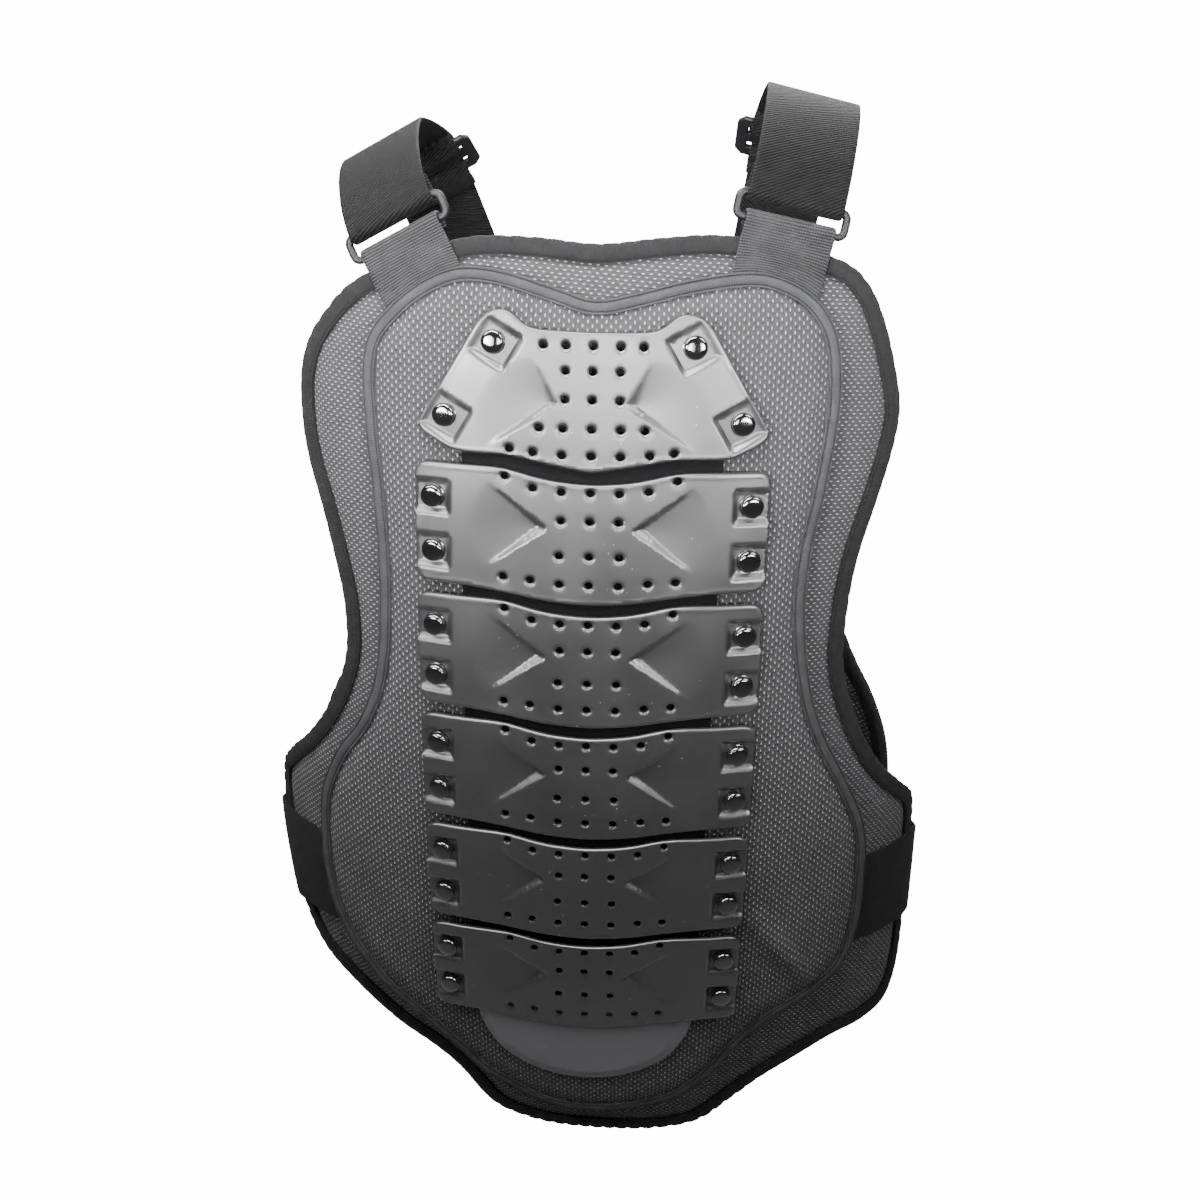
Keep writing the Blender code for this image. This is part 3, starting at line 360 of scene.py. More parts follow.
class VestPlates(bpy.types.PropertyGroup):
    """Sizes and colours of the moulded plates and the caps."""

    cell: FloatProperty(
        name="Plate cell", description="Spacing of the points of a moulded plate",
        default=0.0015, min=0.0008, max=0.01, unit="LENGTH",
    )
    hole_radius: FloatProperty(
        name="Hole radius", description="Radius of an air hole",
        default=0.0020, min=0.0005, max=0.004, unit="LENGTH",
    )
    dimple_width: FloatProperty(
        name="Dimple width", description="Width of the sunk rim round an air hole",
        default=0.0013, min=0.0, max=0.004, unit="LENGTH",
    )
    dimple_depth: FloatProperty(
        name="Dimple depth", description="Depth of the sunk rim round an air hole",
        default=0.0007, min=0.0, max=0.002, unit="LENGTH",
    )
    lip_radius: FloatProperty(
        name="Lip radius", description="Radius of the rounded edge of a plate",
        default=0.0010, min=0.0002, max=0.004, unit="LENGTH",
    )
    hole_sides: IntProperty(
        name="Hole sides", description="Points round an air hole", default=18, min=8, max=48,
    )
    plate_colour: FloatVectorProperty(
        name="Plate", description="Colour of the satin plates",
        default=(0.013, 0.013, 0.014), size=3, min=0.0, max=1.0, subtype="COLOR",
    )
    cap_colour: FloatVectorProperty(
        name="Cap", description="Colour of the glossy snap caps",
        default=(0.004, 0.004, 0.0045), size=3, min=0.0, max=1.0, subtype="COLOR",
    )


class VestStage(bpy.types.PropertyGroup):
    """Floor, light and camera."""

    floor_drop: FloatProperty(
        name="Floor drop", description="How far the floor lies below the vest",
        default=0.10, min=0.0, max=2.0, unit="LENGTH",
    )
    floor_colour: FloatVectorProperty(
        name="Floor", description="Colour of the pale floor",
        default=(0.16, 0.16, 0.16), size=3, min=0.0, max=1.0, subtype="COLOR",
    )
    floor_glow: FloatProperty(
        name="Floor glow", description="How brightly the floor itself shows", default=14.0, min=0.0,
    )
    lens: FloatProperty(
        name="Lens", description="Focal length of the camera in millimetres", default=45.0, min=10.0,
    )


# The flat pattern and the torso


def torso(flat, back=False):
    """Places on the torso of flat points: how far out, how high, how proud."""
    flat = np.atleast_2d(np.asarray(flat, float))
    out, height, lift = flat[:, 0], flat[:, 1], flat[:, 2]
    angle = np.interp(np.abs(out), GIRTHS, ANGLES)
    sign = np.where(out >= 0, 1.0, -1.0)
    reach = (1.0 - BELLY_SHARE) * PANEL_HEIGHT
    depth = TORSO_HALF_DEPTH - TIP_LEAN * ((height - BELLY_Z) / reach) ** 2
    slope = 2.0 * TIP_LEAN * (height - BELLY_Z) / reach**2
    across, along = np.sin(angle), np.cos(angle)
    flare = np.clip((np.abs(out) / QUARTER_GIRTH - FLARE_START) / (1.0 - FLARE_START), 0.0, 1.0)
    normal = np.stack(
        (sign * depth * across, -TORSO_HALF_WIDTH * along, TORSO_HALF_WIDTH * along**2 * slope), 1
    )
    normal /= np.linalg.norm(normal, axis=1)[:, None]
    points = np.stack((sign * TORSO_HALF_WIDTH * across, -depth * along, height), 1)
    points += normal * (lift + SIDE_FLARE * flare**2)[:, None]
    if back:
        points[:, 1] *= -1.0
    return points


def smooth_loop(points, steps):
    """A closed curve through the points, with `steps` places for each of them."""
    points = np.asarray(points, float)
    before, start = np.roll(points, 1, 0), points
    end, after = np.roll(points, -1, 0), np.roll(points, -2, 0)
    places = []
    for step in range(steps):
        t = step / steps
        places.append(0.5 * (
            2 * start + (end - before) * t
            + (2 * before - 5 * start + 4 * end - after) * t**2
            + (3 * start - before - 3 * end + after) * t**3
        ))
    return np.stack(places, 1).reshape(-1, points.shape[1])


def panel_loop(rows, steps=2):
    """An outline of a panel, down its left side and up its right one."""
    left = [(-row[0], row[1]) for row in rows]
    right = [(row[2], row[3]) for row in rows[1:-1]]
    shares = np.array(left + right[::-1])
    places = np.stack((shares[:, 0] * QUARTER_GIRTH, PANEL_TOP - shares[:, 1] * PANEL_HEIGHT), 1)
    return smooth_loop(places, steps)


def mirrored_loop(rows, width, height, top):
    """An outline of a plate from the shares of its right half, down the left and up the right."""
    left = [(-out, down) for out, down in rows]
    right = [(out, down) for out, down in rows if out > 0]
    shares = np.array(left + right[::-1])
    return np.stack((shares[:, 0] * width / 2, top - shares[:, 1] * height), 1)


def inset(loop, distance):
    """The loop moved inwards in the flat pattern."""
    along = np.roll(loop, -1, 0) - np.roll(loop, 1, 0)
    along /= np.linalg.norm(along, axis=1)[:, None]
    return loop + distance * np.stack((-along[:, 1], along[:, 0]), 1)


def distances_along(loop):
    """How far along a closed line each point lies, with the whole length at the end."""
    run = np.linalg.norm(np.roll(loop, -1, 0) - loop, axis=1)
    return np.concatenate([[0.0], np.cumsum(run)])


def even_loop(loop, spacing):
    """The same closed line with points at even steps of about the spacing."""
    closed = np.vstack((loop, loop[:1]))
    run = distances_along(loop)
    count = max(12, int(round(run[-1] / spacing)))
    places = np.linspace(0.0, run[-1], count, endpoint=False)
    return np.stack([np.interp(places, run, closed[:, i]) for i in range(closed.shape[1])], 1)


def rounded(loop, radius, steps=4):
    """The loop with its corners cut back by the radius and rounded."""
    corners = []
    for index, corner in enumerate(loop):
        before, after = loop[index - 1] - corner, loop[(index + 1) % len(loop)] - corner
        near, far = np.linalg.norm(before), np.linalg.norm(after)
        start = corner + before / near * min(radius, near * 0.45)
        end = corner + after / far * min(radius, far * 0.45)
        for step in range(steps + 1):
            t = step / steps
            corners.append(start * (1 - t) ** 2 + corner * 2 * t * (1 - t) + end * t**2)
    return np.array(corners)


def inside(points, loop):
    """Which of the points lie inside a loop."""
    held = np.zeros(len(points), bool)
    for start, end in zip(np.roll(loop, 1, 0), loop):
        if start[1] == end[1]:
            continue
        level = (start[1] > points[:, 1]) != (end[1] > points[:, 1])
        cross = start[0] + (points[:, 1] - start[1]) / (end[1] - start[1]) * (end[0] - start[0])
        held ^= level & (points[:, 0] < cross)
    return held


def distance_to(points, loop, closed=True):
    """How far each point lies from a line's nearest side."""
    nearest = np.full(len(points), np.inf)
    starts = loop if closed else loop[:-1]
    ends = np.roll(loop, -1, 0) if closed else loop[1:]
    for start, end in zip(starts, ends):
        side = end - start
        share = np.clip((points - start) @ side / max(side @ side, 1e-18), 0.0, 1.0)
        away = np.linalg.norm(points - start - share[:, None] * side, axis=1)
        nearest = np.minimum(nearest, away)
    return nearest


def soft_step(value):
    value = np.clip(value, 0.0, 1.0)
    return value * value * (3.0 - 2.0 * value)


def new_object(name, points, faces):
    """A new object in the scene, from its points and faces."""
    mesh = bpy.data.meshes.new(name)
    mesh.from_pydata(points, [], faces)
    obj = bpy.data.objects.new(name, mesh)
    bpy.context.scene.collection.objects.link(obj)
    return obj


def flat_piece(name, outline, holes, guides, cell):
    """A flat mesh over an outline, less its holes, with a point wherever a guide has one."""
    loops = [outline, *holes]
    fixed = np.vstack([*loops, *guides]) if guides else np.vstack(loops)
    low, high = outline.min(0), outline.max(0)
    rows = int((high[1] - low[1]) / (cell * 0.866)) + 1
    lattice = np.array([
        (x + (row % 2) * cell / 2, low[1] + row * cell * 0.866)
        for row in range(rows) for x in np.arange(low[0], high[0], cell)
    ])
    lattice = lattice[inside(lattice, outline)]
    for hole in holes:
        lattice = lattice[~inside(lattice, hole)]
    tree = KDTree(len(fixed))
    for index, point in enumerate(fixed):
        tree.insert((point[0], point[1], 0.0), index)
    tree.balance()
    clear = [tree.find((x, y, 0.0))[2] > cell * 0.55 for x, y in lattice]
    lattice = lattice[np.array(clear)]
    points = np.vstack((fixed, lattice))
    edges, start = [], 0
    for loop in loops:
        count = len(loop)
        edges += [(start + i, start + (i + 1) % count) for i in range(count)]
        start += count
    found = delaunay_2d_cdt([Vector(point) for point in points], edges, [], 0, 1e-7)
    places = np.array([tuple(place) for place in found[0]])
    triangles = np.array([tuple(face) for face in found[2]])
    middles = places[triangles].mean(1)
    keep = inside(middles, outline)
    for hole in holes:
        keep &= ~inside(middles, hole)
    obj = new_object(name, [(x, y, 0.0) for x, y in places], triangles[keep].tolist())
    extrude_up(obj)
    return obj


def pick(obj):
    """Makes the object the only selected one, and the active one."""
    bpy.ops.object.select_all(action="DESELECT")
    obj.select_set(True)
    bpy.context.view_layer.objects.active = obj


def face_outwards(obj):
    """Turns the faces of a closed piece outwards."""
    pick(obj)
    bpy.ops.object.mode_set(mode="EDIT")
    bpy.ops.mesh.select_all(action="SELECT")
    bpy.ops.mesh.normals_make_consistent(inside=False)
    bpy.ops.object.mode_set(mode="OBJECT")


def extrude_up(obj):
    """Extrudes the flat pattern by one, so that a point's Z is its share of the thickness."""
    pick(obj)
    bpy.ops.object.mode_set(mode="EDIT")
    bpy.ops.mesh.select_mode(type="FACE")
    bpy.ops.mesh.select_all(action="SELECT")
    bpy.ops.mesh.delete_loose()
    bpy.ops.mesh.select_all(action="SELECT")
    bpy.ops.mesh.extrude_region_move(TRANSFORM_OT_translate={"value": (0.0, 0.0, 1.0)})
    bpy.ops.mesh.select_all(action="SELECT")
    bpy.ops.mesh.normals_make_consistent(inside=False)
    bpy.ops.object.mode_set(mode="OBJECT")


def flat_points(obj):
    points = np.empty(len(obj.data.vertices) * 3)
    obj.data.vertices.foreach_get("co", points)
    return points.reshape(-1, 3)


def set_pattern(obj, values):
    """Writes the piece's pattern coordinates, in millimetres, as its UV map."""
    layer = obj.data.uv_layers.get("pattern") or obj.data.uv_layers.new(name="pattern")
    corners = np.empty(len(obj.data.loops), np.int32)
    obj.data.loops.foreach_get("vertex_index", corners)
    layer.data.foreach_set("uv", (np.asarray(values)[corners] / MM).astype(np.float32).ravel())


def drape(obj, lifts, back=False):
    """Gives the flat pattern its lifts and bends it over the torso."""
    points = flat_points(obj)
    set_pattern(obj, points[:, :2])
    points[:, 2] = lifts
    obj.data.vertices.foreach_set("co", torso(points, back).ravel())
    if back:
        pick(obj)
        bpy.ops.object.mode_set(mode="EDIT")
        bpy.ops.mesh.select_all(action="SELECT")
        bpy.ops.mesh.flip_normals()
        bpy.ops.object.mode_set(mode="OBJECT")
    obj.data.update()


def settle(obj, material, nodes, angle=40.0):
    """The last steps of every piece: shading, material, and its place in the frame."""
    pick(obj)
    bpy.ops.object.shade_smooth_by_angle(angle=math.radians(angle))
    obj.data.materials.clear()
    obj.data.materials.append(material_named(material))
    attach(obj, BODY)
    if nodes:
        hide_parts(*nodes)
    return obj


# Shader groups and materials


def calc(tree, operation, first, second=0.0, third=0.0):
    """One math node, fed by sockets or numbers."""
    node = tree.nodes.new("ShaderNodeMath")
    node.operation = operation
    for socket, value in zip(node.inputs, (first, second, third)):
        if isinstance(value, (int, float)):
            socket.default_value = value
        else:
            tree.links.new(value, socket)
    return node.outputs[0]


def ramp(tree, value, low, high, start=0.0, end=1.0):
    """The value mapped smoothly from low..high to start..end."""
    node = tree.nodes.new("ShaderNodeMapRange")
    node.interpolation_type = "SMOOTHSTEP"
    tree.links.new(value, node.inputs["Value"])
    for name, number in zip(("From Min", "From Max", "To Min", "To Max"), (low, high, start, end)):
        node.inputs[name].default_value = number
    return node.outputs["Result"]


def noise(tree, vector, scale, detail=2.0, roughness=0.5):
    node = tree.nodes.new("ShaderNodeTexNoise")
    node.inputs["Scale"].default_value = scale
    node.inputs["Detail"].default_value = detail
    node.inputs["Roughness"].default_value = roughness
    tree.links.new(vector, node.inputs["Vector"])
    return node.outputs["Fac"]


def blend(tree, share, first, second):
    """Two colours mixed by a share; a colour is a socket or three numbers."""
    node = tree.nodes.new("ShaderNodeMix")
    node.data_type = "RGBA"
    for socket, value in ((node.inputs[6], first), (node.inputs[7], second)):
        if isinstance(value, bpy.types.NodeSocket):
            tree.links.new(value, socket)
        else:
            socket.default_value = (*value, 1.0)
    if isinstance(share, bpy.types.NodeSocket):
        tree.links.new(share, node.inputs[0])
    else:
        node.inputs[0].default_value = share
    return node.outputs[2]


def new_group(name, inputs, outputs):
    """An empty shader group with named inputs and outputs."""
    tree = bpy.data.node_groups.new(name, "ShaderNodeTree")
    for label, kind, default in inputs:
        socket = tree.interface.new_socket(name=label, in_out="INPUT", socket_type=kind)
        if default is not None:
            socket.default_value = default
    for label in outputs:
        tree.interface.new_socket(name=label, in_out="OUTPUT", socket_type="NodeSocketFloat")
    start = tree.nodes.new("NodeGroupInput")
    end = tree.nodes.new("NodeGroupOutput")
    return tree, start.outputs, end.inputs


def turned(tree, vector, angle):
    """The two coordinates of a vector after a turn by an angle socket in radians."""
    split = tree.nodes.new("ShaderNodeSeparateXYZ")
    tree.links.new(vector, split.inputs[0])
    sine, cosine = calc(tree, "SINE", angle), calc(tree, "COSINE", angle)
    x = calc(tree, "ADD", calc(tree, "MULTIPLY", split.outputs[0], cosine),
             calc(tree, "MULTIPLY", split.outputs[1], sine))
    y = calc(tree, "SUBTRACT", calc(tree, "MULTIPLY", split.outputs[1], cosine),
             calc(tree, "MULTIPLY", split.outputs[0], sine))
    return x, y


def dash_group():
    """Staggered short threads over a ground, as on knitted air mesh."""
    tree, given, made = new_group(
        "staggered_threads",
        (("Vector", "NodeSocketVector", None), ("Column", "NodeSocketFloat", 2.2),
         ("Row", "NodeSocketFloat", 4.2), ("Turn", "NodeSocketFloat", 0.0),
         ("Length", "NodeSocketFloat", 0.21), ("Width", "NodeSocketFloat", 0.16)),
        ("Thread", "Height"),
    )
    x, y = turned(tree, given["Vector"], given["Turn"])
    wobble = noise(tree, given["Vector"], 0.22, 1.0)
    shift = calc(tree, "MULTIPLY", calc(tree, "SUBTRACT", wobble, 0.5), 0.9)
    column = calc(tree, "DIVIDE", calc(tree, "ADD", x, shift), given["Column"])
    index = calc(tree, "FLOOR", column)
    odd = calc(tree, "MULTIPLY", calc(tree, "FLOORED_MODULO", index, 2.0), 0.5)
    row = calc(tree, "ADD", calc(tree, "DIVIDE", y, given["Row"]), odd)
    aside = calc(tree, "SUBTRACT", calc(tree, "FRACT", column), 0.5)
    along = calc(tree, "SUBTRACT", calc(tree, "FRACT", row), 0.5)
    wide = calc(tree, "POWER", calc(tree, "DIVIDE", aside, given["Width"]), 2.0)
    tall = calc(tree, "POWER", calc(tree, "DIVIDE", along, given["Length"]), 2.0)
    reach = calc(tree, "SQRT", calc(tree, "ADD", wide, tall))
    thread = ramp(tree, reach, 0.65, 1.15, 1.0, 0.0)
    pore = ramp(tree, calc(tree, "ABSOLUTE", along), 0.30, 0.5, 0.0, 1.0)
    rib = ramp(tree, calc(tree, "ABSOLUTE", aside), 0.25, 0.5, 0.45, 0.0)
    height = calc(tree, "SUBTRACT", calc(tree, "ADD", thread, rib), calc(tree, "MULTIPLY", pore, 0.5))
    tree.links.new(thread, made["Thread"])
    tree.links.new(height, made["Height"])
    return tree


def rib_group():
    """Straight woven ribs at an angle, with a finer cross thread."""
    tree, given, made = new_group(
        "woven_ribs",
        (("Vector", "NodeSocketVector", None), ("Pitch", "NodeSocketFloat", 1.0),
         ("Cross Pitch", "NodeSocketFloat", 0.7), ("Turn", "NodeSocketFloat", 0.0)),
        ("Rib", "Height"),
    )
    x, y = turned(tree, given["Vector"], given["Turn"])
    wobble = calc(tree, "SUBTRACT", noise(tree, given["Vector"], 0.35), 0.5)
    place = calc(tree, "ADD", y, calc(tree, "MULTIPLY", wobble, 0.5))
    wave = calc(tree, "MULTIPLY", calc(tree, "DIVIDE", place, given["Pitch"]), math.tau)
    rib = ramp(tree, calc(tree, "SINE", wave), -0.9, 0.9)
    cross_wave = calc(tree, "MULTIPLY", calc(tree, "DIVIDE", x, given["Cross Pitch"]), math.tau)
    cross = ramp(tree, calc(tree, "SINE", cross_wave), -0.9, 0.9)
    height = calc(tree, "ADD", rib, calc(tree, "MULTIPLY", cross, 0.35))
    share = calc(tree, "ADD", calc(tree, "MULTIPLY", cross, 0.5), 0.5)
    crossed = calc(tree, "MULTIPLY", rib, share)
    tree.links.new(crossed, made["Rib"])
    tree.links.new(height, made["Height"])
    return tree


def speck_group():
    """Fine grain, soft smears and a few pale specks, as on handled plastic."""
    tree, given, made = new_group(
        "handled_surface",
        (("Vector", "NodeSocketVector", None), ("Speck Density", "NodeSocketFloat", 0.08)),
        ("Grain", "Smear", "Speck"),
    )
    grain = noise(tree, given["Vector"], 900.0, 2.0)
    smear = noise(tree, given["Vector"], 28.0, 4.0, 0.6)
    cells = tree.nodes.new("ShaderNodeTexVoronoi")
    cells.inputs["Scale"].default_value = 420.0
    tree.links.new(given["Vector"], cells.inputs["Vector"])
    dot = ramp(tree, cells.outputs["Distance"], 0.10, 0.16, 1.0, 0.0)
    split = tree.nodes.new("ShaderNodeSeparateColor")
    tree.links.new(cells.outputs["Color"], split.inputs[0])
    chosen = calc(tree, "LESS_THAN", split.outputs[0], given["Speck Density"])
    patch = ramp(tree, noise(tree, given["Vector"], 34.0, 2.0), 0.52, 0.64)
    tree.links.new(grain, made["Grain"])
    tree.links.new(smear, made["Smear"])
    tree.links.new(calc(tree, "MULTIPLY", calc(tree, "MULTIPLY", dot, chosen), patch), made["Speck"])
    return tree


def placed_group(tree, name, values, vector):
    node = tree.nodes.new("ShaderNodeGroup")
    node.node_tree = bpy.data.node_groups[name]
    tree.links.new(vector, node.inputs["Vector"])
    for label, value in values.items():
        node.inputs[label].default_value = value
    return node.outputs


def new_material(name, roughness, **constants):
    """A material with its shader's constants set on the shader's own sockets."""
    material = bpy.data.materials.new(name)
    material.use_nodes = True
    tree = material.node_tree
    shader = tree.nodes["Principled BSDF"]
    shader.inputs["Roughness"].default_value = roughness
    for label, value in constants.items():
        shader.inputs[label.replace("_", " ")].default_value = value
    coordinates = tree.nodes.new("ShaderNodeTexCoord")
    pattern = tree.nodes.new("ShaderNodeUVMap")
    pattern.uv_map = "pattern"
    return material, tree, shader, coordinates.outputs["Object"], pattern.outputs["UV"]


def add_bump(tree, shader, height, distance, strength=1.0):
    bump = tree.nodes.new("ShaderNodeBump")
    bump.inputs["Distance"].default_value = distance
    bump.inputs["Strength"].default_value = strength
    tree.links.new(height, bump.inputs["Height"])
    tree.links.new(bump.outputs["Normal"], shader.inputs["Normal"])


def painted_shade_under_plates(tree, shade):
    """The colour, turned black as painted shade where a plate lies over the piece."""
    shadow_node = tree.nodes.new("ShaderNodeAttribute")
    shadow_node.attribute_name = "covered"
    return blend(tree, shadow_node.outputs["Fac"], shade, (0.002, 0.002, 0.002))


def air_mesh(name, turn, cloth, column, row):
    """Knitted air mesh: pale staggered threads over a dark open ground."""
    material, tree, shader, place, pattern = new_material(
        name, 0.72, Sheen_Weight=0.05, Sheen_Roughness=0.5, Specular_IOR_Level=0.25
    )
    threads = placed_group(
        tree, "staggered_threads", {"Turn": turn, "Column": column, "Row": row}, pattern
    )
    patchy = noise(tree, place, 60.0, 3.0)
    ground = blend(tree, patchy, cloth.mesh_ground, [c * 1.5 for c in cloth.mesh_ground])
    pale = blend(tree, noise(tree, pattern, 0.8, 2.0), [c * 0.65 for c in cloth.mesh_thread],
                 [c * 1.2 for c in cloth.mesh_thread])
    # The mesh is painted black as shade where a plate lies over it.
    shade = painted_shade_under_plates(tree, blend(tree, threads["Thread"], ground, pale))
    tree.links.new(shade, shader.inputs["Base Color"])
    tree.links.new(ramp(tree, threads["Thread"], 0.0, 1.0, 0.8, 0.5), shader.inputs["Roughness"])
    add_bump(tree, shader, threads["Height"], 0.0006)
    return material


def woven(name, colour, pitch, cross, turn, distance, contrast=0.5, roughness=0.7, stitches=(),
          specular=0.2):
    """Ribbed cloth, with rows of stitches at distances across it."""
    material, tree, shader, place, pattern = new_material(
        name, roughness, Sheen_Weight=0.03, Sheen_Roughness=0.45, Specular_IOR_Level=specular
    )
    ribs = placed_group(
        tree, "woven_ribs", {"Pitch": pitch, "Cross Pitch": cross, "Turn": turn}, pattern
    )
    dark = [c * (1.0 - contrast) for c in colour]
    light = [c * (1.0 + contrast) for c in colour]
    shade = blend(tree, ribs["Rib"], dark, light)
    worn = ramp(tree, noise(tree, place, 90.0, 4.0), 0.35, 0.75, 0.0, 0.4)
    shade = blend(tree, worn, shade, [c * 1.7 for c in colour])
    height = ribs["Height"]
    if stitches:
        split = tree.nodes.new("ShaderNodeSeparateXYZ")
        tree.links.new(pattern, split.inputs[0])
        step = calc(tree, "FRACT", calc(tree, "DIVIDE", split.outputs[1], STITCH_PITCH))
        from_middle = calc(tree, "ABSOLUTE", calc(tree, "SUBTRACT", step, 0.5))
        on = ramp(tree, from_middle, 0.30, 0.38, 1.0, 0.0)
        row = None
        for across in stitches:
            near = calc(tree, "ABSOLUTE", calc(tree, "SUBTRACT", split.outputs[0], across))
            band = ramp(tree, near, 0.25, 0.5, 1.0, 0.0)
            row = band if row is None else calc(tree, "MAXIMUM", row, band)
        stitch = calc(tree, "MULTIPLY", row, on)
        shade = blend(tree, calc(tree, "MULTIPLY", row, 0.75), shade, [c * 0.25 for c in colour])
        height = calc(tree, "SUBTRACT", height, calc(tree, "MULTIPLY", stitch, 1.6))
    tree.links.new(shade, shader.inputs["Base Color"])
    add_bump(tree, shader, height, distance)
    return material


def plastic(name, colour, roughness, specks, grain, **constants):
    """Moulded plastic with fine grain, smears and specks of dust."""
    material, tree, shader, place, _ = new_material(name, roughness, **constants)
    surface = placed_group(tree, "handled_surface", {"Speck Density": specks}, place)
    shade = blend(tree, surface["Smear"], [c * 0.85 for c in colour], [c * 1.2 for c in colour])
    shade = blend(tree, surface["Speck"], shade, (0.35, 0.35, 0.34))
    # The plastic is painted black as shade where a plate lies over it.
    tree.links.new(painted_shade_under_plates(tree, shade), shader.inputs["Base Color"])
    rough = ramp(tree, surface["Smear"], 0.3, 0.7, roughness * 0.88, roughness * 1.15)
    tree.links.new(rough, shader.inputs["Roughness"])
    add_bump(tree, shader, surface["Grain"], grain)
    return material


def make_materials(cloth, plates):
    dash_group()
    rib_group()
    speck_group()
    air_mesh("air_mesh_upright", 0.0, cloth, 2.2, 4.2)
    air_mesh("air_mesh_across", math.radians(-94.0), cloth, 1.9, 3.9)
    woven("gathered_tape", cloth.tape_colour, 0.9, 0.6, 0.0, 0.0002, 0.25, 0.8, (8.1,))
    woven("stitched_band", cloth.band_colour, 0.8, 0.5, 0.0, 0.00015, 0.3, 0.75, (1.3, 5.7))
    for side, turn in (("left", 17.0), ("right", 32.0)):
        woven(f"twill_webbing_{side}", cloth.strap_colour, 1.5, NO_CROSS_THREAD, math.radians(turn),
              0.0004, 0.85, 0.65, specular=0.09)
    woven("ribbed_webbing", cloth.tab_colour, 1.35, 1.35, 0.0, 0.0004, 0.85, 0.65)
    woven("ribbed_elastic", cloth.strap_colour, 1.1, 0.8, 0.0, 0.0003, 0.4, 0.65)
    plastic("satin_plate", plates.plate_colour, 0.37, 0.10, 0.00003, Specular_IOR_Level=1.0,
            Coat_Weight=0.6, Coat_Roughness=0.33)
    # The tongues' colour, at 0.4 of the plates', is painted shade for the gaps between the plates.
    plastic("tongue_strip", [c * 0.4 for c in plates.plate_colour], 0.6, 0.0, 0.00003,
            Specular_IOR_Level=0.03)
    plastic("tail_plate", [c * 9.0 for c in plates.plate_colour], 0.42, 0.04, 0.00003)
    plastic("gloss_cap", plates.cap_colour, 0.08, 0.0, 0.000002, Specular_IOR_Level=1.0,
            Coat_Weight=1.0, Coat_Roughness=0.03)
    plastic("buckle_plastic", [c * 2.0 for c in plates.cap_colour], 0.42, 0.0, 0.00002,
            Specular_IOR_Level=0.25)


def material_named(name):
    if "satin_plate" not in bpy.data.materials:
        make_materials(bpy.context.scene.vest_cloth, bpy.context.scene.vest_plates)
    return bpy.data.materials[name]


# Padded panels


def fold_rise(points):
    """A soft diagonal ridge beside the lowest plate."""
    line = np.array(PANEL_FOLD)
    away = distance_to(points[:, :2], line, closed=False)
    middle = line.mean(0)
    along = np.linalg.norm(points[:, :2] - middle, axis=1) / 0.034
    return 0.0034 * np.exp(-(away / 0.006) ** 2) * np.exp(-along**2)


def hand_waves(points, size):
    """Slow uneven waves, as soft padding lies."""
    out, height = points[:, 0], points[:, 1]
    return size * (
        np.sin(out * 61.0 + 1.3 * np.sin(height * 37.0)) * np.sin(height * 53.0 + 0.7)
        + 0.5 * np.sin(out * 118.0 + height * 83.0)
    )


def mark_painted_shade(obj, flat, start, reach):
    """Writes painted shade under the plates as the piece's attribute: 1 where the plates lie over the
    piece, rising from their edges, and 0 elsewhere.
    """
    outlines = [stack_outline(top) for top in STACK_TOPS]
    outlines.append(mirrored_loop(COLLAR_OUTLINE, COLLAR_WIDTH, COLLAR_HEIGHT, COLLAR_TOP))
    covered = np.zeros(len(flat))
    for outline in outlines:
        held = inside(flat, outline)
        away = distance_to(flat[held], outline)
        covered[held] = soft_step((away - start) / reach)
    layer = obj.data.attributes.new("covered", "FLOAT", "POINT")
    layer.data.foreach_set("value", covered.astype(np.float32))


def padded_panel(name, loop, depth, base, thick, material, back=False, waves=0.0004, extra=None):
    """A crowned pad of air mesh that runs a little way under its edge tape."""
    cloth = bpy.context.scene.vest_cloth
    edge = even_loop(inset(loop, depth), cloth.cell)
    rim = even_loop(inset(loop, depth + 0.003), cloth.cell)
    obj = flat_piece(f"{name}_pad", edge, [], [rim], cloth.cell)
    points = flat_points(obj)
    away = distance_to(points[:, :2], edge)
    crown = 0.50 + 0.50 * soft_step(away / 0.013) ** 0.8
    top = points[:, 2] > 0.5
    puff = thick * crown + hand_waves(points, waves) * soft_step(away / 0.02)
    if extra is not None:
        puff += extra(points)
    lifts = np.where(top, base + puff, base + thick * 0.08 * (1.0 - soft_step(away / 0.01)))
    # Painted shade under the plates, written for the inner panel only.
    if name == "front_inner_panel":
        mark_painted_shade(obj, points[:, :2], 0.001, 0.004)
    drape(obj, lifts, back)
    settle(obj, material, [name], 60.0)
    return obj


class VEST_OT_padded_panels(bpy.types.Operator):
    """Makes the three padded panels of air mesh"""

    bl_idname = "vest.padded_panels"
    bl_label = "Padded panels"

    def execute(self, context):
        outer, inner, back = (
            panel_loop(rows, 4) for rows in (OUTER_OUTLINE, INNER_OUTLINE, BACK_OUTLINE)
        )
        rim = BINDING_WIDTH * 0.75
        padded_panel("front_outer_panel", outer, rim, 0.0, OUTER_THICK, "air_mesh_across")
        padded_panel(
            "front_inner_panel", inner, BAND_WIDTH * 0.7, INNER_BASE, INNER_THICK,
            "air_mesh_upright", extra=fold_rise,
        )
        padded_panel("back_panel", back, rim, 0.0, BACK_THICK, "air_mesh_across", back=True)
        return {"FINISHED"}


# Edge tapes


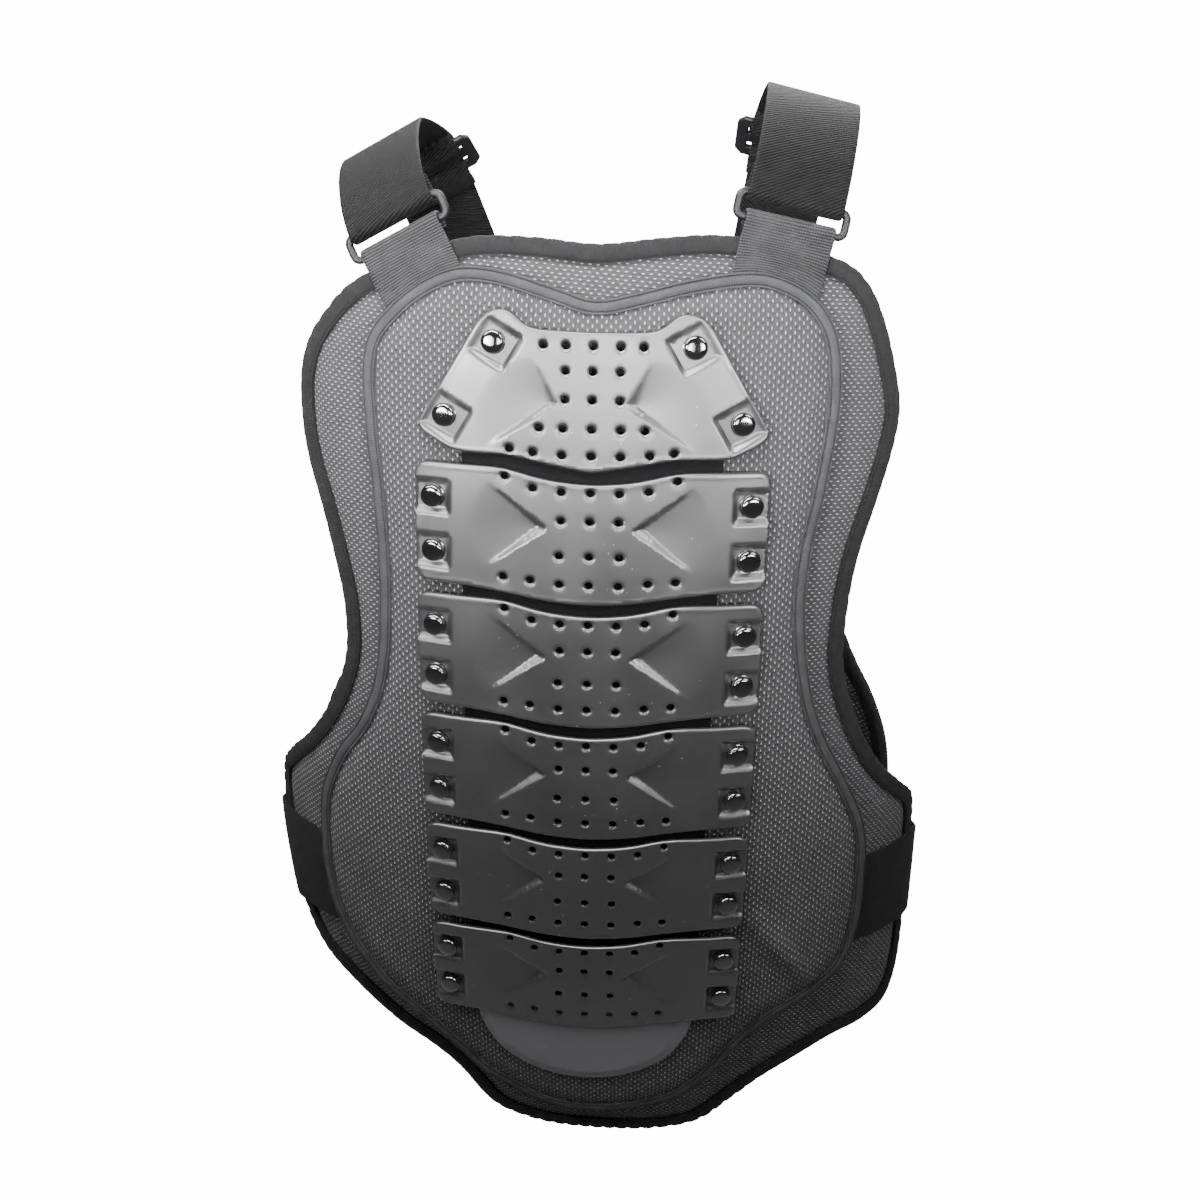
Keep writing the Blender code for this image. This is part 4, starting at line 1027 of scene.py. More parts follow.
def tape_ring(name, loop, section, back=False):
    """A tape round a loop: the section gives the depth and lift of each of its lines."""
    count, sides = len(loop), section.shape[1]
    out_way = inset(loop, 1.0) - loop
    flat = np.concatenate([
        np.column_stack((loop + out_way * section[:, side, :1], section[:, side, 1]))
        for side in range(sides)
    ])
    points = torso(flat, back)
    faces, patterns = [], []
    along = distances_along(loop)
    depths = section[:, :, 0].mean(0)
    for side in range(sides):
        after = (side + 1) % sides
        for i in range(count):
            j = (i + 1) % count
            corners = (
                (side * count + i, depths[side], along[i]),
                (side * count + j, depths[side], along[i + 1]),
                (after * count + j, depths[after], along[i + 1]),
                (after * count + i, depths[after], along[i]),
            )
            faces.append([corner[0] for corner in corners])
            patterns += [(corner[1] / MM, corner[2] / MM) for corner in corners]
    obj = new_object(name, points.tolist(), faces)
    layer = obj.data.uv_layers.new(name="pattern")
    layer.data.foreach_set("uv", np.array(patterns, np.float32).ravel())
    face_outwards(obj)
    return obj


def gathers(along, aside, pitch):
    """How full the tape is, from 0 in a gather's crease to 1 on its roll."""
    phase = along / pitch * math.pi + 1.1 * np.sin(along * 31.0) + 0.7 * np.sin(along * 53.0 + 1.0)
    strength = 0.55 + 0.45 * np.sin(along * 17.0 + 0.6 * np.sin(along * 41.0))
    crease = np.abs(np.cos(phase + aside * 160.0)) ** 7
    return 1.0 - crease * strength


def gathered_binding(name, rows, thick, back=False):
    """The gathered tape that wraps a panel's rim."""
    cloth = bpy.context.scene.vest_cloth
    loop = even_loop(panel_loop(rows, 4), 0.0017)
    along = distances_along(loop)[:-1]
    low, high = -0.0004, thick + 0.0006
    middle = (low + high) / 2
    shape = (
        (0.0000, middle), (0.0005, middle + (high - middle) * 0.72), (0.0018, high - 0.0002),
        (0.0042, high + 0.0003), (0.0066, high), (0.0080, high - 0.0004), (0.0090, high - 0.0007),
        (0.0090, low + 0.0009), (0.0060, low), (0.0020, low), (0.0005, low + (middle - low) * 0.3),
    )
    section = np.zeros((len(loop), len(shape), 2))
    for side, (depth, lift) in enumerate(shape):
        full = gathers(along, depth, cloth.pucker_pitch)
        sink = (1.0 - full) * cloth.pucker_depth
        fade = soft_step((0.0105 - depth) / 0.006)
        section[:, side, 0] = depth + sink * (0.45 if depth < 0.001 else 0.2)
        section[:, side, 1] = lift + (middle - lift) / (high - middle) * sink * fade
    obj = tape_ring(f"{name}_tape", loop, section, back)
    return settle(obj, "gathered_tape", [name], 55.0)


class VEST_OT_bindings(bpy.types.Operator):
    """Makes the gathered tapes round the front outer panel and the back panel"""

    bl_idname = "vest.bindings"
    bl_label = "Gathered bindings"

    def execute(self, context):
        gathered_binding("front_outer_binding", OUTER_OUTLINE, OUTER_THICK)
        gathered_binding("back_binding", BACK_OUTLINE, BACK_THICK, back=True)
        return {"FINISHED"}


class VEST_OT_inner_band(bpy.types.Operator):
    """Makes the flat stitched band round the front inner panel"""

    bl_idname = "vest.inner_band"
    bl_label = "Stitched band"

    def execute(self, context):
        loop = even_loop(panel_loop(INNER_OUTLINE, 4), 0.0022)
        along = distances_along(loop)[:-1]
        top = BAND_BASE + BAND_THICK
        shape = (
            (0.0000, BAND_BASE), (0.0001, top - 0.0012), (0.0006, top - 0.0003), (0.0011, top - 0.0004),
            (0.0013, top - 0.0006), (0.0016, top - 0.0003), (0.0035, top + 0.0001),
            (0.0054, top - 0.0003), (0.0057, top - 0.0006), (0.0060, top - 0.0004),
            (0.0066, top - 0.0003), (0.0070, top - 0.0010), (0.0070, BAND_BASE),
        )
        section = np.zeros((len(loop), len(shape), 2))
        for side, (depth, lift) in enumerate(shape):
            section[:, side, 0] = depth
            section[:, side, 1] = lift
            if lift > BAND_BASE:
                section[:, side, 1] += 0.0002 * np.sin(along * 190.0 + 2.0 * np.sin(along * 23.0))
        obj = tape_ring("front_inner_band_tape", loop, section)
        settle(obj, "stitched_band", ["front_inner_band"], 50.0)
        return {"FINISHED"}


# Moulded plates


def hole_places(rows, width, height, top):
    return [
        np.array((sign * out * width / 2, top - down * height))
        for down, outs in rows for out in outs for sign in ((-1, 1) if out else (1,))
    ]


def circle(centre, radius, sides):
    turns = np.arange(sides) * math.tau / sides
    return centre + radius * np.stack((np.cos(turns), np.sin(turns)), 1)


def chevron_points(shares, width, height, top, sign):
    """Upper end, apex, lower end and foot of one chevron."""
    upper, apex, lower = (
        np.array((sign * out * width / 2, top - down * height)) for out, down in shares
    )
    return upper, apex, lower, apex + np.array((sign * CHEVRON_WALL, 0.0))


def chevron_sink(points, shares, width, height, top):
    """Depth of both sunk V fields: deepest at the foot of the apex, fading out along the arms."""
    sunk = np.zeros(len(points))
    for sign in (-1, 1):
        upper, apex, lower, foot = chevron_points(shares, width, height, top, sign)
        walls, angles, lengths = [], [], []
        for end in (upper, lower):
            side = end - apex
            lengths.append(np.linalg.norm(side))
            angles.append(math.atan2(side[1], side[0] * sign))
            across = np.array((-side[1], side[0])) / lengths[-1]
            walls.append((points - apex) @ across / ((foot - apex) @ across))
        local = points - apex
        angle = np.arctan2(local[:, 1], local[:, 0] * sign)
        share = np.clip((angles[0] - angle) / (angles[0] - angles[1]), 0.0, 1.0)
        reach = lengths[0] + (lengths[1] - lengths[0]) * share
        fade = np.clip(1.0 - np.linalg.norm(points - foot, axis=1) / reach, 0.0, 1.0) ** 1.15
        wall = np.minimum(walls[0], walls[1])
        sunk = np.maximum(sunk, CHEVRON_DEPTH * np.clip(np.minimum(fade, wall), 0.0, 1.0))
    return sunk


def box_sink(points, centre, along, half, wall):
    """1 in a four-sided pocket, falling to 0 over the width of its wall."""
    side = np.array((along[1], -along[0]))
    local = np.abs(np.stack(((points - centre) @ along, (points - centre) @ side), 1))
    return 1.0 - soft_step((local.max(1) - half) / wall)


def hole_dimples(points, holes, plates):
    """Depth of the sunk rims of the air holes."""
    sunk = np.zeros(len(points))
    for centre in holes:
        away = np.linalg.norm(points - centre, axis=1) - plates.hole_radius
        share = np.clip(1.0 - away / plates.dimple_width, 0.0, 1.0)
        sunk = np.maximum(sunk, plates.dimple_depth * share**1.6)
    return sunk


def stack_outline(top):
    """Outline of a straight plate with its sagging middle."""
    half, bottom = PLATE_WIDTH / 2, top - PLATE_HEIGHT
    flat, step_out = half * 0.49, half * 0.75
    right = [
        (0.0, top - PLATE_SAG), (flat * 0.5, top - PLATE_SAG * 0.75), (flat, top), (half, top),
        (half, bottom), (step_out, bottom), (flat, bottom - PLATE_SAG * 0.3),
        (flat * 0.5, bottom - PLATE_SAG * 0.8), (0.0, bottom - PLATE_SAG),
    ]
    left = [(-out, height) for out, height in right]
    return rounded(np.array(left + right[-2:0:-1]), PLATE_CORNER, 5)


def stack_snap_places(top):
    """Side and centre of each snap of a straight plate."""
    out = PLATE_WIDTH / 2 - SNAP_INSET
    return [
        (sign, np.array((sign * out, top - down * PLATE_HEIGHT)))
        for sign in (-1, 1) for down in STACK_SNAPS
    ]


def stack_relief(points, top):
    """Depth of a straight plate's pockets and of its falling ends."""
    inner = PLATE_WIDTH / 2 - SNAP_INSET - POCKET_HALF
    fall = soft_step((np.abs(points[:, 0]) - inner + 0.004) / (SNAP_INSET + POCKET_HALF + 0.004))
    sunk = PLATE_RISE * 0.2 * fall
    for sign, centre in stack_snap_places(top):
        local = np.abs(points - centre - np.array((sign * POCKET_SHIFT, 0.0)))
        reach = np.maximum(local[:, 0] - POCKET_SHIFT, local[:, 1])
        share = 1.0 - soft_step((reach - POCKET_HALF + POCKET_STEP) / POCKET_STEP)
        sunk = np.maximum(sunk, PLATE_RISE * share)
    return sunk


def stack_pocket_guides(top):
    """Close points along the walls of a straight plate's pockets."""
    lines = []
    half = PLATE_WIDTH / 2
    for sign, (_, height) in stack_snap_places(top):
        for reach in (POCKET_HALF - POCKET_STEP, POCKET_HALF - POCKET_STEP / 2, POCKET_HALF):
            inner = half - SNAP_INSET - reach
            aside = np.arange(inner, half - 0.0022, 0.0010)
            for level in (-reach, reach):
                lines.append(np.column_stack((sign * aside, np.full(len(aside), height + level))))
            rise = np.arange(-reach + 0.001, reach - 0.0005, 0.0010)
            lines.append(np.column_stack((np.full(len(rise), sign * inner), height + rise)))
    return lines


def collar_pocket_guides():
    """Close points along the walls of the top plate's pockets."""
    lines = []
    for centre, along, inward in collar_snap_places():
        centre = centre + inward * KITE_SHIFT
        side = np.array((along[1], -along[0]))
        for half in (KITE_HALF, KITE_HALF + KITE_STEP / 2, KITE_HALF + KITE_STEP):
            steps = np.arange(-half, half + 0.0001, 0.0010)[:, None]
            for sign in (-1, 1):
                lines += [centre + along * steps + side * half * sign,
                          centre + side * steps + along * half * sign]
    return lines


def thinned(lines):
    """The lines' points, less those that lie too close to an earlier one."""
    points = np.vstack(lines)
    tree = KDTree(len(points))
    for index, point in enumerate(points):
        tree.insert((*point, 0.0), index)
    tree.balance()
    kept = []
    for index, point in enumerate(points):
        near = tree.find_range((*point, 0.0), GUIDE_SPACING)
        if not any(found < index for _, found, _ in near):
            kept.append(point)
    return [np.array(kept)]


def collar_snap_places():
    """Places of the top plate's snaps, the way its slanting edge runs there, and inwards."""
    scale = np.array((COLLAR_WIDTH / 2, -COLLAR_HEIGHT))
    along = np.array(COLLAR_OUTLINE[7]) * scale - np.array(COLLAR_OUTLINE[6]) * scale
    along /= np.linalg.norm(along)
    inward = np.array((along[1], -along[0]))
    return [
        (np.array((sign * out * COLLAR_WIDTH / 2, COLLAR_TOP - down * COLLAR_HEIGHT)),
         along * np.array((sign, 1.0)), inward * np.array((sign, 1.0)))
        for sign in (-1, 1) for out, down in COLLAR_SNAPS
    ]


def collar_relief(points, _):
    """Depth of the kite-shaped pockets under the top plate's snaps."""
    sunk = np.zeros(len(points))
    for centre, along, inward in collar_snap_places():
        middle = centre + inward * KITE_SHIFT
        share = box_sink(points, middle, along, KITE_HALF, KITE_STEP)
        deeper = 0.72 + 0.28 * np.clip((points - middle) @ inward / KITE_HALF, -1.0, 1.0)
        sunk = np.maximum(sunk, PLATE_RISE * share * deeper)
    return sunk


def moulded_plate(name, outline, holes, relief, chevron, width, height, top, guides, sink=1.0):
    """A moulded plate: rounded lip, sunk chevrons and pockets, and air holes cut through."""
    plates = bpy.context.scene.vest_plates
    cell = plates.cell
    edge = even_loop(outline, cell)
    rims = [circle(centre, plates.hole_radius, plates.hole_sides) for centre in holes]
    rings = [
        circle(centre, plates.hole_radius + plates.dimple_width * share, plates.hole_sides)
        for centre in holes for share in (0.3, 0.65, 1.1)
    ]
    lips = [even_loop(inset(outline, plates.lip_radius * share), cell) for share in (0.25, 0.6, 1.05)]
    obj = flat_piece(f"{name}_shell", edge, rims, rings + lips + guides, cell)
    points = flat_points(obj)
    flat = points[:, :2]
    away = distance_to(flat, edge)
    lip = np.clip(1.0 - away / plates.lip_radius, 0.0, 1.0)
    sunk = np.maximum(relief(flat, top), sink * chevron_sink(flat, chevron, width, height, top))
    sunk += hole_dimples(flat, holes, plates)
    shell = points[:, 2] * (PLATE_THICK - 0.45 * PLATE_THICK * (1.0 - np.sqrt(1.0 - lip**2)))
    shell += 0.0002 * soft_step(1.0 - np.abs(away - plates.lip_radius * 1.2) / 0.0012)
    drape(obj, PLATE_SEAT + PLATE_RISE - sunk + shell)
    return settle(obj, "satin_plate", [name], 50.0)


def crease_guides(shares, width, height, top):
    """Close points along the chevrons' crests and feet, so that the creases come out clean."""
    lines = []
    for sign in (-1, 1):
        upper, apex, lower, foot = chevron_points(shares, width, height, top, sign)
        for start, end in ((upper, apex), (lower, apex), (upper, foot), (lower, foot)):
            steps = np.linspace(0.06, 1.0, 26)[:, None]
            lines.append(start + (end - start) * steps)
    return lines


class VEST_OT_top_plate(bpy.types.Operator):
    """Makes the winged top plate"""

    bl_idname = "vest.top_plate"
    bl_label = "Top plate"

    def execute(self, context):
        size = (COLLAR_WIDTH, COLLAR_HEIGHT, COLLAR_TOP)
        outline = rounded(mirrored_loop(COLLAR_OUTLINE, *size), 0.004, 3)
        guides = thinned(crease_guides(COLLAR_CHEVRON, *size) + collar_pocket_guides())
        moulded_plate(
            "plate_1", outline, hole_places(COLLAR_HOLES, *size), collar_relief, COLLAR_CHEVRON, *size,
            guides, sink=0.7,
        )
        return {"FINISHED"}


class VEST_OT_stack_plates(bpy.types.Operator):
    """Makes the five straight plates under the top one"""

    bl_idname = "vest.stack_plates"
    bl_label = "Straight plates"

    def execute(self, context):
        for index, top in enumerate(STACK_TOPS):
            size = (PLATE_WIDTH, PLATE_HEIGHT, top)
            guides = thinned(crease_guides(STACK_CHEVRON, *size) + stack_pocket_guides(top))
            moulded_plate(
                f"plate_{index + 2}", stack_outline(top), hole_places(STACK_HOLES, *size), stack_relief,
                STACK_CHEVRON, *size, guides,
            )
        return {"FINISHED"}


class VEST_OT_plate_tongues(bpy.types.Operator):
    """Makes the ridged strips that join one plate to the next"""

    bl_idname = "vest.plate_tongues"
    bl_label = "Plate tongues"

    def execute(self, context):
        half = TONGUE_WIDTH / 2
        for index, top in enumerate(STACK_TOPS):
            middle = top + (PLATE_PITCH - PLATE_HEIGHT) / 2
            corners = [
                (-half, middle + TONGUE_REACH), (-half, middle - TONGUE_REACH),
                (half, middle - TONGUE_REACH), (half, middle + TONGUE_REACH),
            ]
            outline = even_loop(rounded(np.array(corners), 0.002, 3), 0.0022)
            node = f"plate_tongue_{index + 1}"
            obj = flat_piece(f"{node}_strip", outline, [], [], 0.0022)
            points = flat_points(obj)
            out = np.abs(points[:, 0])
            ridge = np.exp(-((out - 0.046) / 0.0009) ** 2) + np.exp(-((out - 0.0515) / 0.0009) ** 2)
            ribs = 0.00025 * np.sin((points[:, 1] - middle) * math.tau / 0.0032)
            sag = PLATE_SAG * np.clip(1.0 - (out / (PLATE_WIDTH * 0.245)) ** 1.6, 0.0, 1.0)
            lifts = PLATE_SEAT + points[:, 2] * (0.0015 + 0.0006 * ridge + ribs)
            points[:, 1] -= sag
            obj.data.vertices.foreach_set("co", points.ravel())
            # Painted shade: the tongue turns black where a plate lies over it.
            mark_painted_shade(obj, points[:, :2], 0.0002, 0.0018)
            drape(obj, lifts)
            settle(obj, "tongue_strip", [node], 50.0)
        return {"FINISHED"}


class VEST_OT_tail_plate(bpy.types.Operator):
    """Makes the rounded tail plate under the stack"""

    bl_idname = "vest.tail_plate"
    bl_label = "Tail plate"

    def execute(self, context):
        shares = mirrored_loop(TAIL_OUTLINE, TAIL_WIDTH, TAIL_HEIGHT, TAIL_TOP)
        outline = even_loop(smooth_loop(shares, 4), 0.0022)
        outline[:, 0] = np.clip(outline[:, 0], -TAIL_WIDTH / 2, TAIL_WIDTH / 2)
        depths = (0.0005, 0.0012, 0.0039, 0.0048, 0.0057)
        lines = [even_loop(inset(outline, depth), 0.0022) for depth in depths]
        obj = flat_piece("tail_plate_shell", outline, [], lines, 0.0024)
        points = flat_points(obj)
        away = distance_to(points[:, :2], outline)
        step = soft_step((away - 0.0040) / 0.0015)
        edge = 1.0 - np.sqrt(np.clip(1.0 - np.clip(1.0 - away / 0.0012, 0.0, 1.0) ** 2, 0.0, 1.0))
        lifts = PLATE_SEAT + points[:, 2] * (0.0012 + 0.0012 * step - 0.0006 * edge)
        drape(obj, lifts)
        settle(obj, "tail_plate", ["tail_plate"], 50.0)
        return {"FINISHED"}


# Snap caps


# Rise of each step of a cap, in metres, and its radius there as a share of the foot's
CAP_STEPS = (
    (0.00070, 1.00), (0.00010, 0.955), (0.00130, 0.95), (0.00060, 0.925), (0.00050, 0.87),
    (0.00035, 0.77), (0.00022, 0.60), (0.00012, 0.35),
)


def snap_profile():
    """One domed cap: a disc extruded and narrowed in steps, with a thin collar at its foot."""
    bpy.ops.object.select_all(action="DESELECT")
    bpy.ops.mesh.primitive_circle_add(vertices=40, radius=SNAP_RADIUS, fill_type="NGON")
    cap = bpy.context.active_object
    bpy.ops.object.mode_set(mode="EDIT")
    bpy.ops.mesh.select_mode(type="FACE")
    bpy.ops.mesh.select_all(action="SELECT")
    last = 1.0
    for rise, radius in CAP_STEPS:
        bpy.ops.mesh.extrude_region_move(TRANSFORM_OT_translate={"value": (0.0, 0.0, rise)})
        narrow = (radius / last, radius / last, 1.0)
        bpy.ops.transform.resize(value=narrow, center_override=(0.0, 0.0, 0.0))
        last = radius
    bpy.ops.mesh.poke()
    bpy.ops.mesh.select_all(action="SELECT")
    bpy.ops.mesh.normals_make_consistent(inside=False)
    bpy.ops.object.mode_set(mode="OBJECT")
    return cap


class VEST_OT_snap_caps(bpy.types.Operator):
    """Makes the glossy snap caps at the plates' corners"""

    bl_idname = "vest.snap_caps"
    bl_label = "Snap caps"

    def execute(self, context):
        first = snap_profile()
        places = [("plate_1", centre) for centre, _, _ in collar_snap_places()]
        for index, top in enumerate(STACK_TOPS):
            places += [(f"plate_{index + 2}", centre) for _, centre in stack_snap_places(top)]
        seat = PLATE_SEAT + PLATE_THICK + 0.0002
        for number, (plate, (out, height)) in enumerate(places):
            side = "left" if out < 0 else "right"
            level = "lower" if number % 2 else "upper"
            node = f"{plate}_snap_{side}_{level}"
            cap = first.copy()
            cap.data = first.data.copy()
            cap.name = f"{node}_cap"
            context.scene.collection.objects.link(cap)
            foot, head = torso([(out, height, seat), (out, height, seat + 0.01)])
            normal = Vector(head - foot).normalized()
            turn = normal.to_track_quat("Z", "Y").to_matrix().to_4x4()
            cap.data.transform(Matrix.Translation(Vector(foot)) @ turn)
            settle(cap, "gloss_cap", [node], 45.0)
        bpy.data.objects.remove(first)
        return {"FINISHED"}


# Webbing


SELVEDGE = np.array((0.0, 0.006, 0.018, 0.04, 0.10, 0.2, 0.3, 0.4, 0.5, 0.6, 0.7, 0.8, 0.9, 0.96, 0.982,
                     0.994, 1.0))
SELVEDGE_THICK = np.array((0.35, 0.72, 0.93, 1.0, 1.0, 1.0, 1.0, 1.0, 1.0, 1.0, 1.0, 1.0, 1.0, 1.0,
                           0.93, 0.72, 0.35))


def flat_row(centre, width, normal, spread):
    """A straight row across a strap, and which way it faces."""
    aside = np.array(width)[None] * (spread * (SELVEDGE - 0.5))[:, None]
    return np.array(centre)[None] + aside, np.repeat(np.array(normal)[None], len(SELVEDGE), 0)


def torso_row(outs, heights, lift, back=False):
    """A row across a strap that lies on the torso."""
    middle = torso(np.column_stack((outs, heights, np.full(len(outs), lift))), back)
    above = torso(np.column_stack((outs, heights, np.full(len(outs), lift + 0.001))), back)
    return middle, (above - middle) / 0.001


def bar_rows(bar, up, normal, width, spread, radius, start, end, steps=12):
    """Rows round a bar, from one angle to another: 0 is outwards and 90 is along `up`."""
    rows = []
    for step in range(steps + 1):
        turn = math.radians(start + (end - start) * step / steps)
        way = normal * math.cos(turn) + up * math.sin(turn)
        rows.append(flat_row(bar + way * radius, width, way, spread))
    return rows


def webbing(name, rows, thick, material):
    """A woven strap through its rows, with thin selvedges."""
    middles = np.array([row[0] for row in rows])
    normals = np.array([row[1] for row in rows])
    normals /= np.linalg.norm(normals, axis=2)[:, :, None]
    reach = normals * (thick / 2 * SELVEDGE_THICK)[None, :, None]
    under, over = middles - reach, middles + reach
    count, across = middles.shape[:2]
    steps = np.linalg.norm(np.diff(middles, axis=0), axis=2).mean(1)
    along = np.concatenate([[0.0], np.cumsum(steps)])
    spans = np.linalg.norm(np.diff(middles, axis=1), axis=2).mean(0)
    aside = np.concatenate([[0.0], np.cumsum(spans)])
    points = np.vstack((under.reshape(-1, 3), over.reshape(-1, 3)))
    pattern = np.stack(np.meshgrid(aside, along), 2).reshape(-1, 2)
    total = count * across
    grid = np.arange(total).reshape(count, across)
    a, b, c, d = (
        part.ravel() for part in (grid[:-1, :-1], grid[:-1, 1:], grid[1:, 1:], grid[1:, :-1])
    )
    faces = np.stack((a, d, c, b), 1).tolist() + (np.stack((a, b, c, d), 1) + total).tolist()
    rim = list(grid[0]) + list(grid[1:, -1]) + list(grid[-1, -2::-1]) + list(grid[-2:0:-1, 0])
    for start, end in zip(rim, rim[1:] + rim[:1]):
        faces.append([int(start), int(end), int(end + total), int(start + total)])
    obj = new_object(f"{name}_cloth", points.tolist(), faces)
    set_pattern(obj, np.vstack((pattern, pattern)))
    face_outwards(obj)
    settle(obj, material, [name], 50.0)


class StrapPlan:
    """Where one shoulder strap's ring, arch and slider stand."""

    def __init__(self, row):
        self.side, self.sign, out, drop, lean, self.rise = row
        self.lean = math.radians(lean)
        self.place = np.array((self.sign * out, -drop))
        self.way = np.array((self.sign * math.sin(self.lean), math.cos(self.lean)))
        self.cross = np.array((math.cos(self.lean), -self.sign * math.sin(self.lean)))
        self.bar_lift = WEB_BASE - BAR_GAP - BAR_RADIUS
        self.centre = self.on_torso(0.0, 0.0)
        self.width = (self.on_torso(0.01, 0.0) - self.on_torso(-0.01, 0.0)).normalized()
        rising = self.on_torso(0.0, 0.01) - self.on_torso(0.0, -0.01)
        self.normal = self.width.cross(rising).normalized()
        self.up = self.normal.cross(self.width)
        self.low_bar = self.centre - self.up * (RING_BAR_SPACING / 2)
        self.high_bar = self.centre + self.up * (RING_BAR_SPACING / 2)
        self.start = self.high_bar + self.normal * LOOP_RADIUS
        self.rise_way = Vector((self.sign * math.sin(self.lean), 0.0, math.cos(self.lean)))
        point, self.rear_width, self.rear_normal = self.arch(SLIDER_TURN)
        self.rear_up = self.rear_width.cross(self.rear_normal)
        self.rear_bar = point - self.rear_normal * SLIDER_LOOP
        self.slider_centre = self.rear_bar - self.rear_up * (SLIDER_SLOT + SLIDER_BAR)
        self.rear_low_bar = self.slider_centre - self.rear_up * (SLIDER_SLOT + SLIDER_BAR)

    def on_torso(self, aside, ahead):
        place = self.place + self.cross * aside + self.way * ahead
        return Vector(torso([(*place, self.bar_lift)])[0])

    def arch(self, turn):
        """Centre, width direction and outward normal of the strap at a turn from 0 to pi."""
        point = self.start + self.rise_way * (self.rise * math.sin(turn))
        point.y = self.start.y * math.cos(turn)
        width = Vector((self.width.x, self.width.y * math.cos(turn), self.width.z)).normalized()
        along = self.rise_way * (self.rise * math.cos(turn))
        along.y = -self.start.y * math.sin(turn)
        return point, width, width.cross(along).normalized()

    def folded(self, turn):
        """The arch with its sides drawn in, so that it meets its crest in a fold."""
        point, width, normal = self.arch(turn)
        if turn < math.pi / 2:
            drawn_in = FOLD_FRONT * math.sin(2 * turn)
        else:
            drawn_in = FOLD_REAR * math.sin(math.pi * (turn - math.pi / 2) / (SLIDER_TURN - math.pi / 2))
        middle = self.start.copy()
        middle.y = 0.0
        return point + (middle - point) * drawn_in, width, normal


def shoulder_strap(plan):
    """The wide strap, doubled back round the ring and round the slider."""
    close = STRAP_THICK + 2 * BAR_GAP
    lap = STRAP_DOUBLED / math.hypot(plan.rise, plan.start.y)

    def doubled(turn, share, loop):
        point, width, normal = plan.folded(turn)
        under = 2 * loop + (close - 2 * loop) * share**1.5
        return flat_row(point - normal * under, width, -normal, STRAP_WIDTH)

    rows = [doubled(lap * share, share, LOOP_RADIUS) for share in np.linspace(1.0, 0.1, 10)]
    rows += bar_rows(
        plan.high_bar, plan.up, plan.normal, plan.width, STRAP_WIDTH, LOOP_RADIUS, -180.0, 0.0
    )
    for turn in np.linspace(0.0, SLIDER_TURN, 56)[1:-1]:
        rows.append(flat_row(*plan.folded(turn), STRAP_WIDTH))
    rows += bar_rows(
        plan.rear_bar, plan.rear_up, plan.rear_normal, plan.rear_width, STRAP_WIDTH, SLIDER_LOOP,
        0.0, -180.0,
    )
    for share in np.linspace(0.1, 1.0, 10):
        rows.append(doubled(SLIDER_TURN - lap * 0.5 * share, share, SLIDER_LOOP))
    webbing(
        f"shoulder_strap_{plan.side}", rows, STRAP_THICK, f"twill_webbing_{plan.side}",
    )


def strap_tab(plan, tuck_loop):
    """The grey tab from under the band up round the ring's lower bar."""
    top = -RING_BAR_SPACING / 2 - 0.008
    asides = WEB_WIDTH * (SELVEDGE - 0.5)
    feet = []
    for aside in asides:
        reaches = top - np.arange(0.0, 0.08, 0.0005)
        places = plan.place + plan.cross * aside + plan.way * reaches[:, None]
        held = inside(places, tuck_loop)
        feet.append(reaches[held.argmax()] if held.any() else reaches[-1])
    lift = WEB_BASE + STRAP_THICK / 2
    rows = []
    for share in np.linspace(0.0, 1.0, 14):
        along = np.array(feet) * (1 - share) + top * share
        places = plan.place + plan.cross * asides[:, None] + plan.way * along[:, None]
        rows.append(torso_row(places[:, 0], places[:, 1], lift))
    radius = lift - plan.bar_lift
    rows += bar_rows(plan.low_bar, plan.up, plan.normal, plan.width, WEB_WIDTH, radius, 0.0, 180.0)
    end = plan.low_bar - plan.up * 0.004 - plan.normal * radius
    rows.append(flat_row(end, plan.width, -plan.normal, WEB_WIDTH))
    webbing(
        f"strap_tab_{plan.side}", rows, STRAP_THICK, "ribbed_webbing",
    )


def rear_web(plan):
    """The webbing from the slider's lower bar down on to the back panel."""
    up, normal, width = plan.rear_up, plan.rear_normal, plan.rear_width
    bar = plan.rear_low_bar
    rows = [
        flat_row(bar - up * down - normal * SLIDER_LOOP, width, -normal, WEB_WIDTH)
        for down in (0.012, 0.008, 0.004)
    ]
    rows += bar_rows(bar, up, normal, width, WEB_WIDTH, SLIDER_LOOP, 180.0, 0.0)
    start = bar + normal * SLIDER_LOOP - up * 0.006
    rows.append(flat_row(start, width, normal, WEB_WIDTH))
    top = panel_loop(BACK_OUTLINE)[:, 1].max() + 0.006
    out_top = abs(start.x) - (start.z - top) * math.tan(plan.lean) * 0.75
    lift = BACK_WEB_BASE + STRAP_THICK / 2
    outs = plan.sign * out_top + WEB_WIDTH * (SELVEDGE - 0.5)
    landing = torso_row(outs, np.full(len(outs), top), lift, True)
    first = flat_row(start, width, normal, WEB_WIDTH)
    for share in np.linspace(0.12, 0.9, 8):
        eased = float(soft_step(np.array(share)))
        middle = first[0] * (1 - share) + landing[0] * share
        middle[:, 1] += 0.004 * math.sin(math.pi * share)
        rows.append((middle, first[1] * (1 - eased) + landing[1] * eased))
    for height in np.linspace(top, top - 0.045, 12):
        outs = plan.sign * (out_top + (height - top) * math.tan(plan.lean) * 0.4)
        outs = outs + WEB_WIDTH * (SELVEDGE - 0.5)
        rows.append(torso_row(outs, np.full(len(outs), height), lift, True))
    webbing(
        f"rear_web_{plan.side}", rows, STRAP_THICK, f"twill_webbing_{plan.side}",
    )


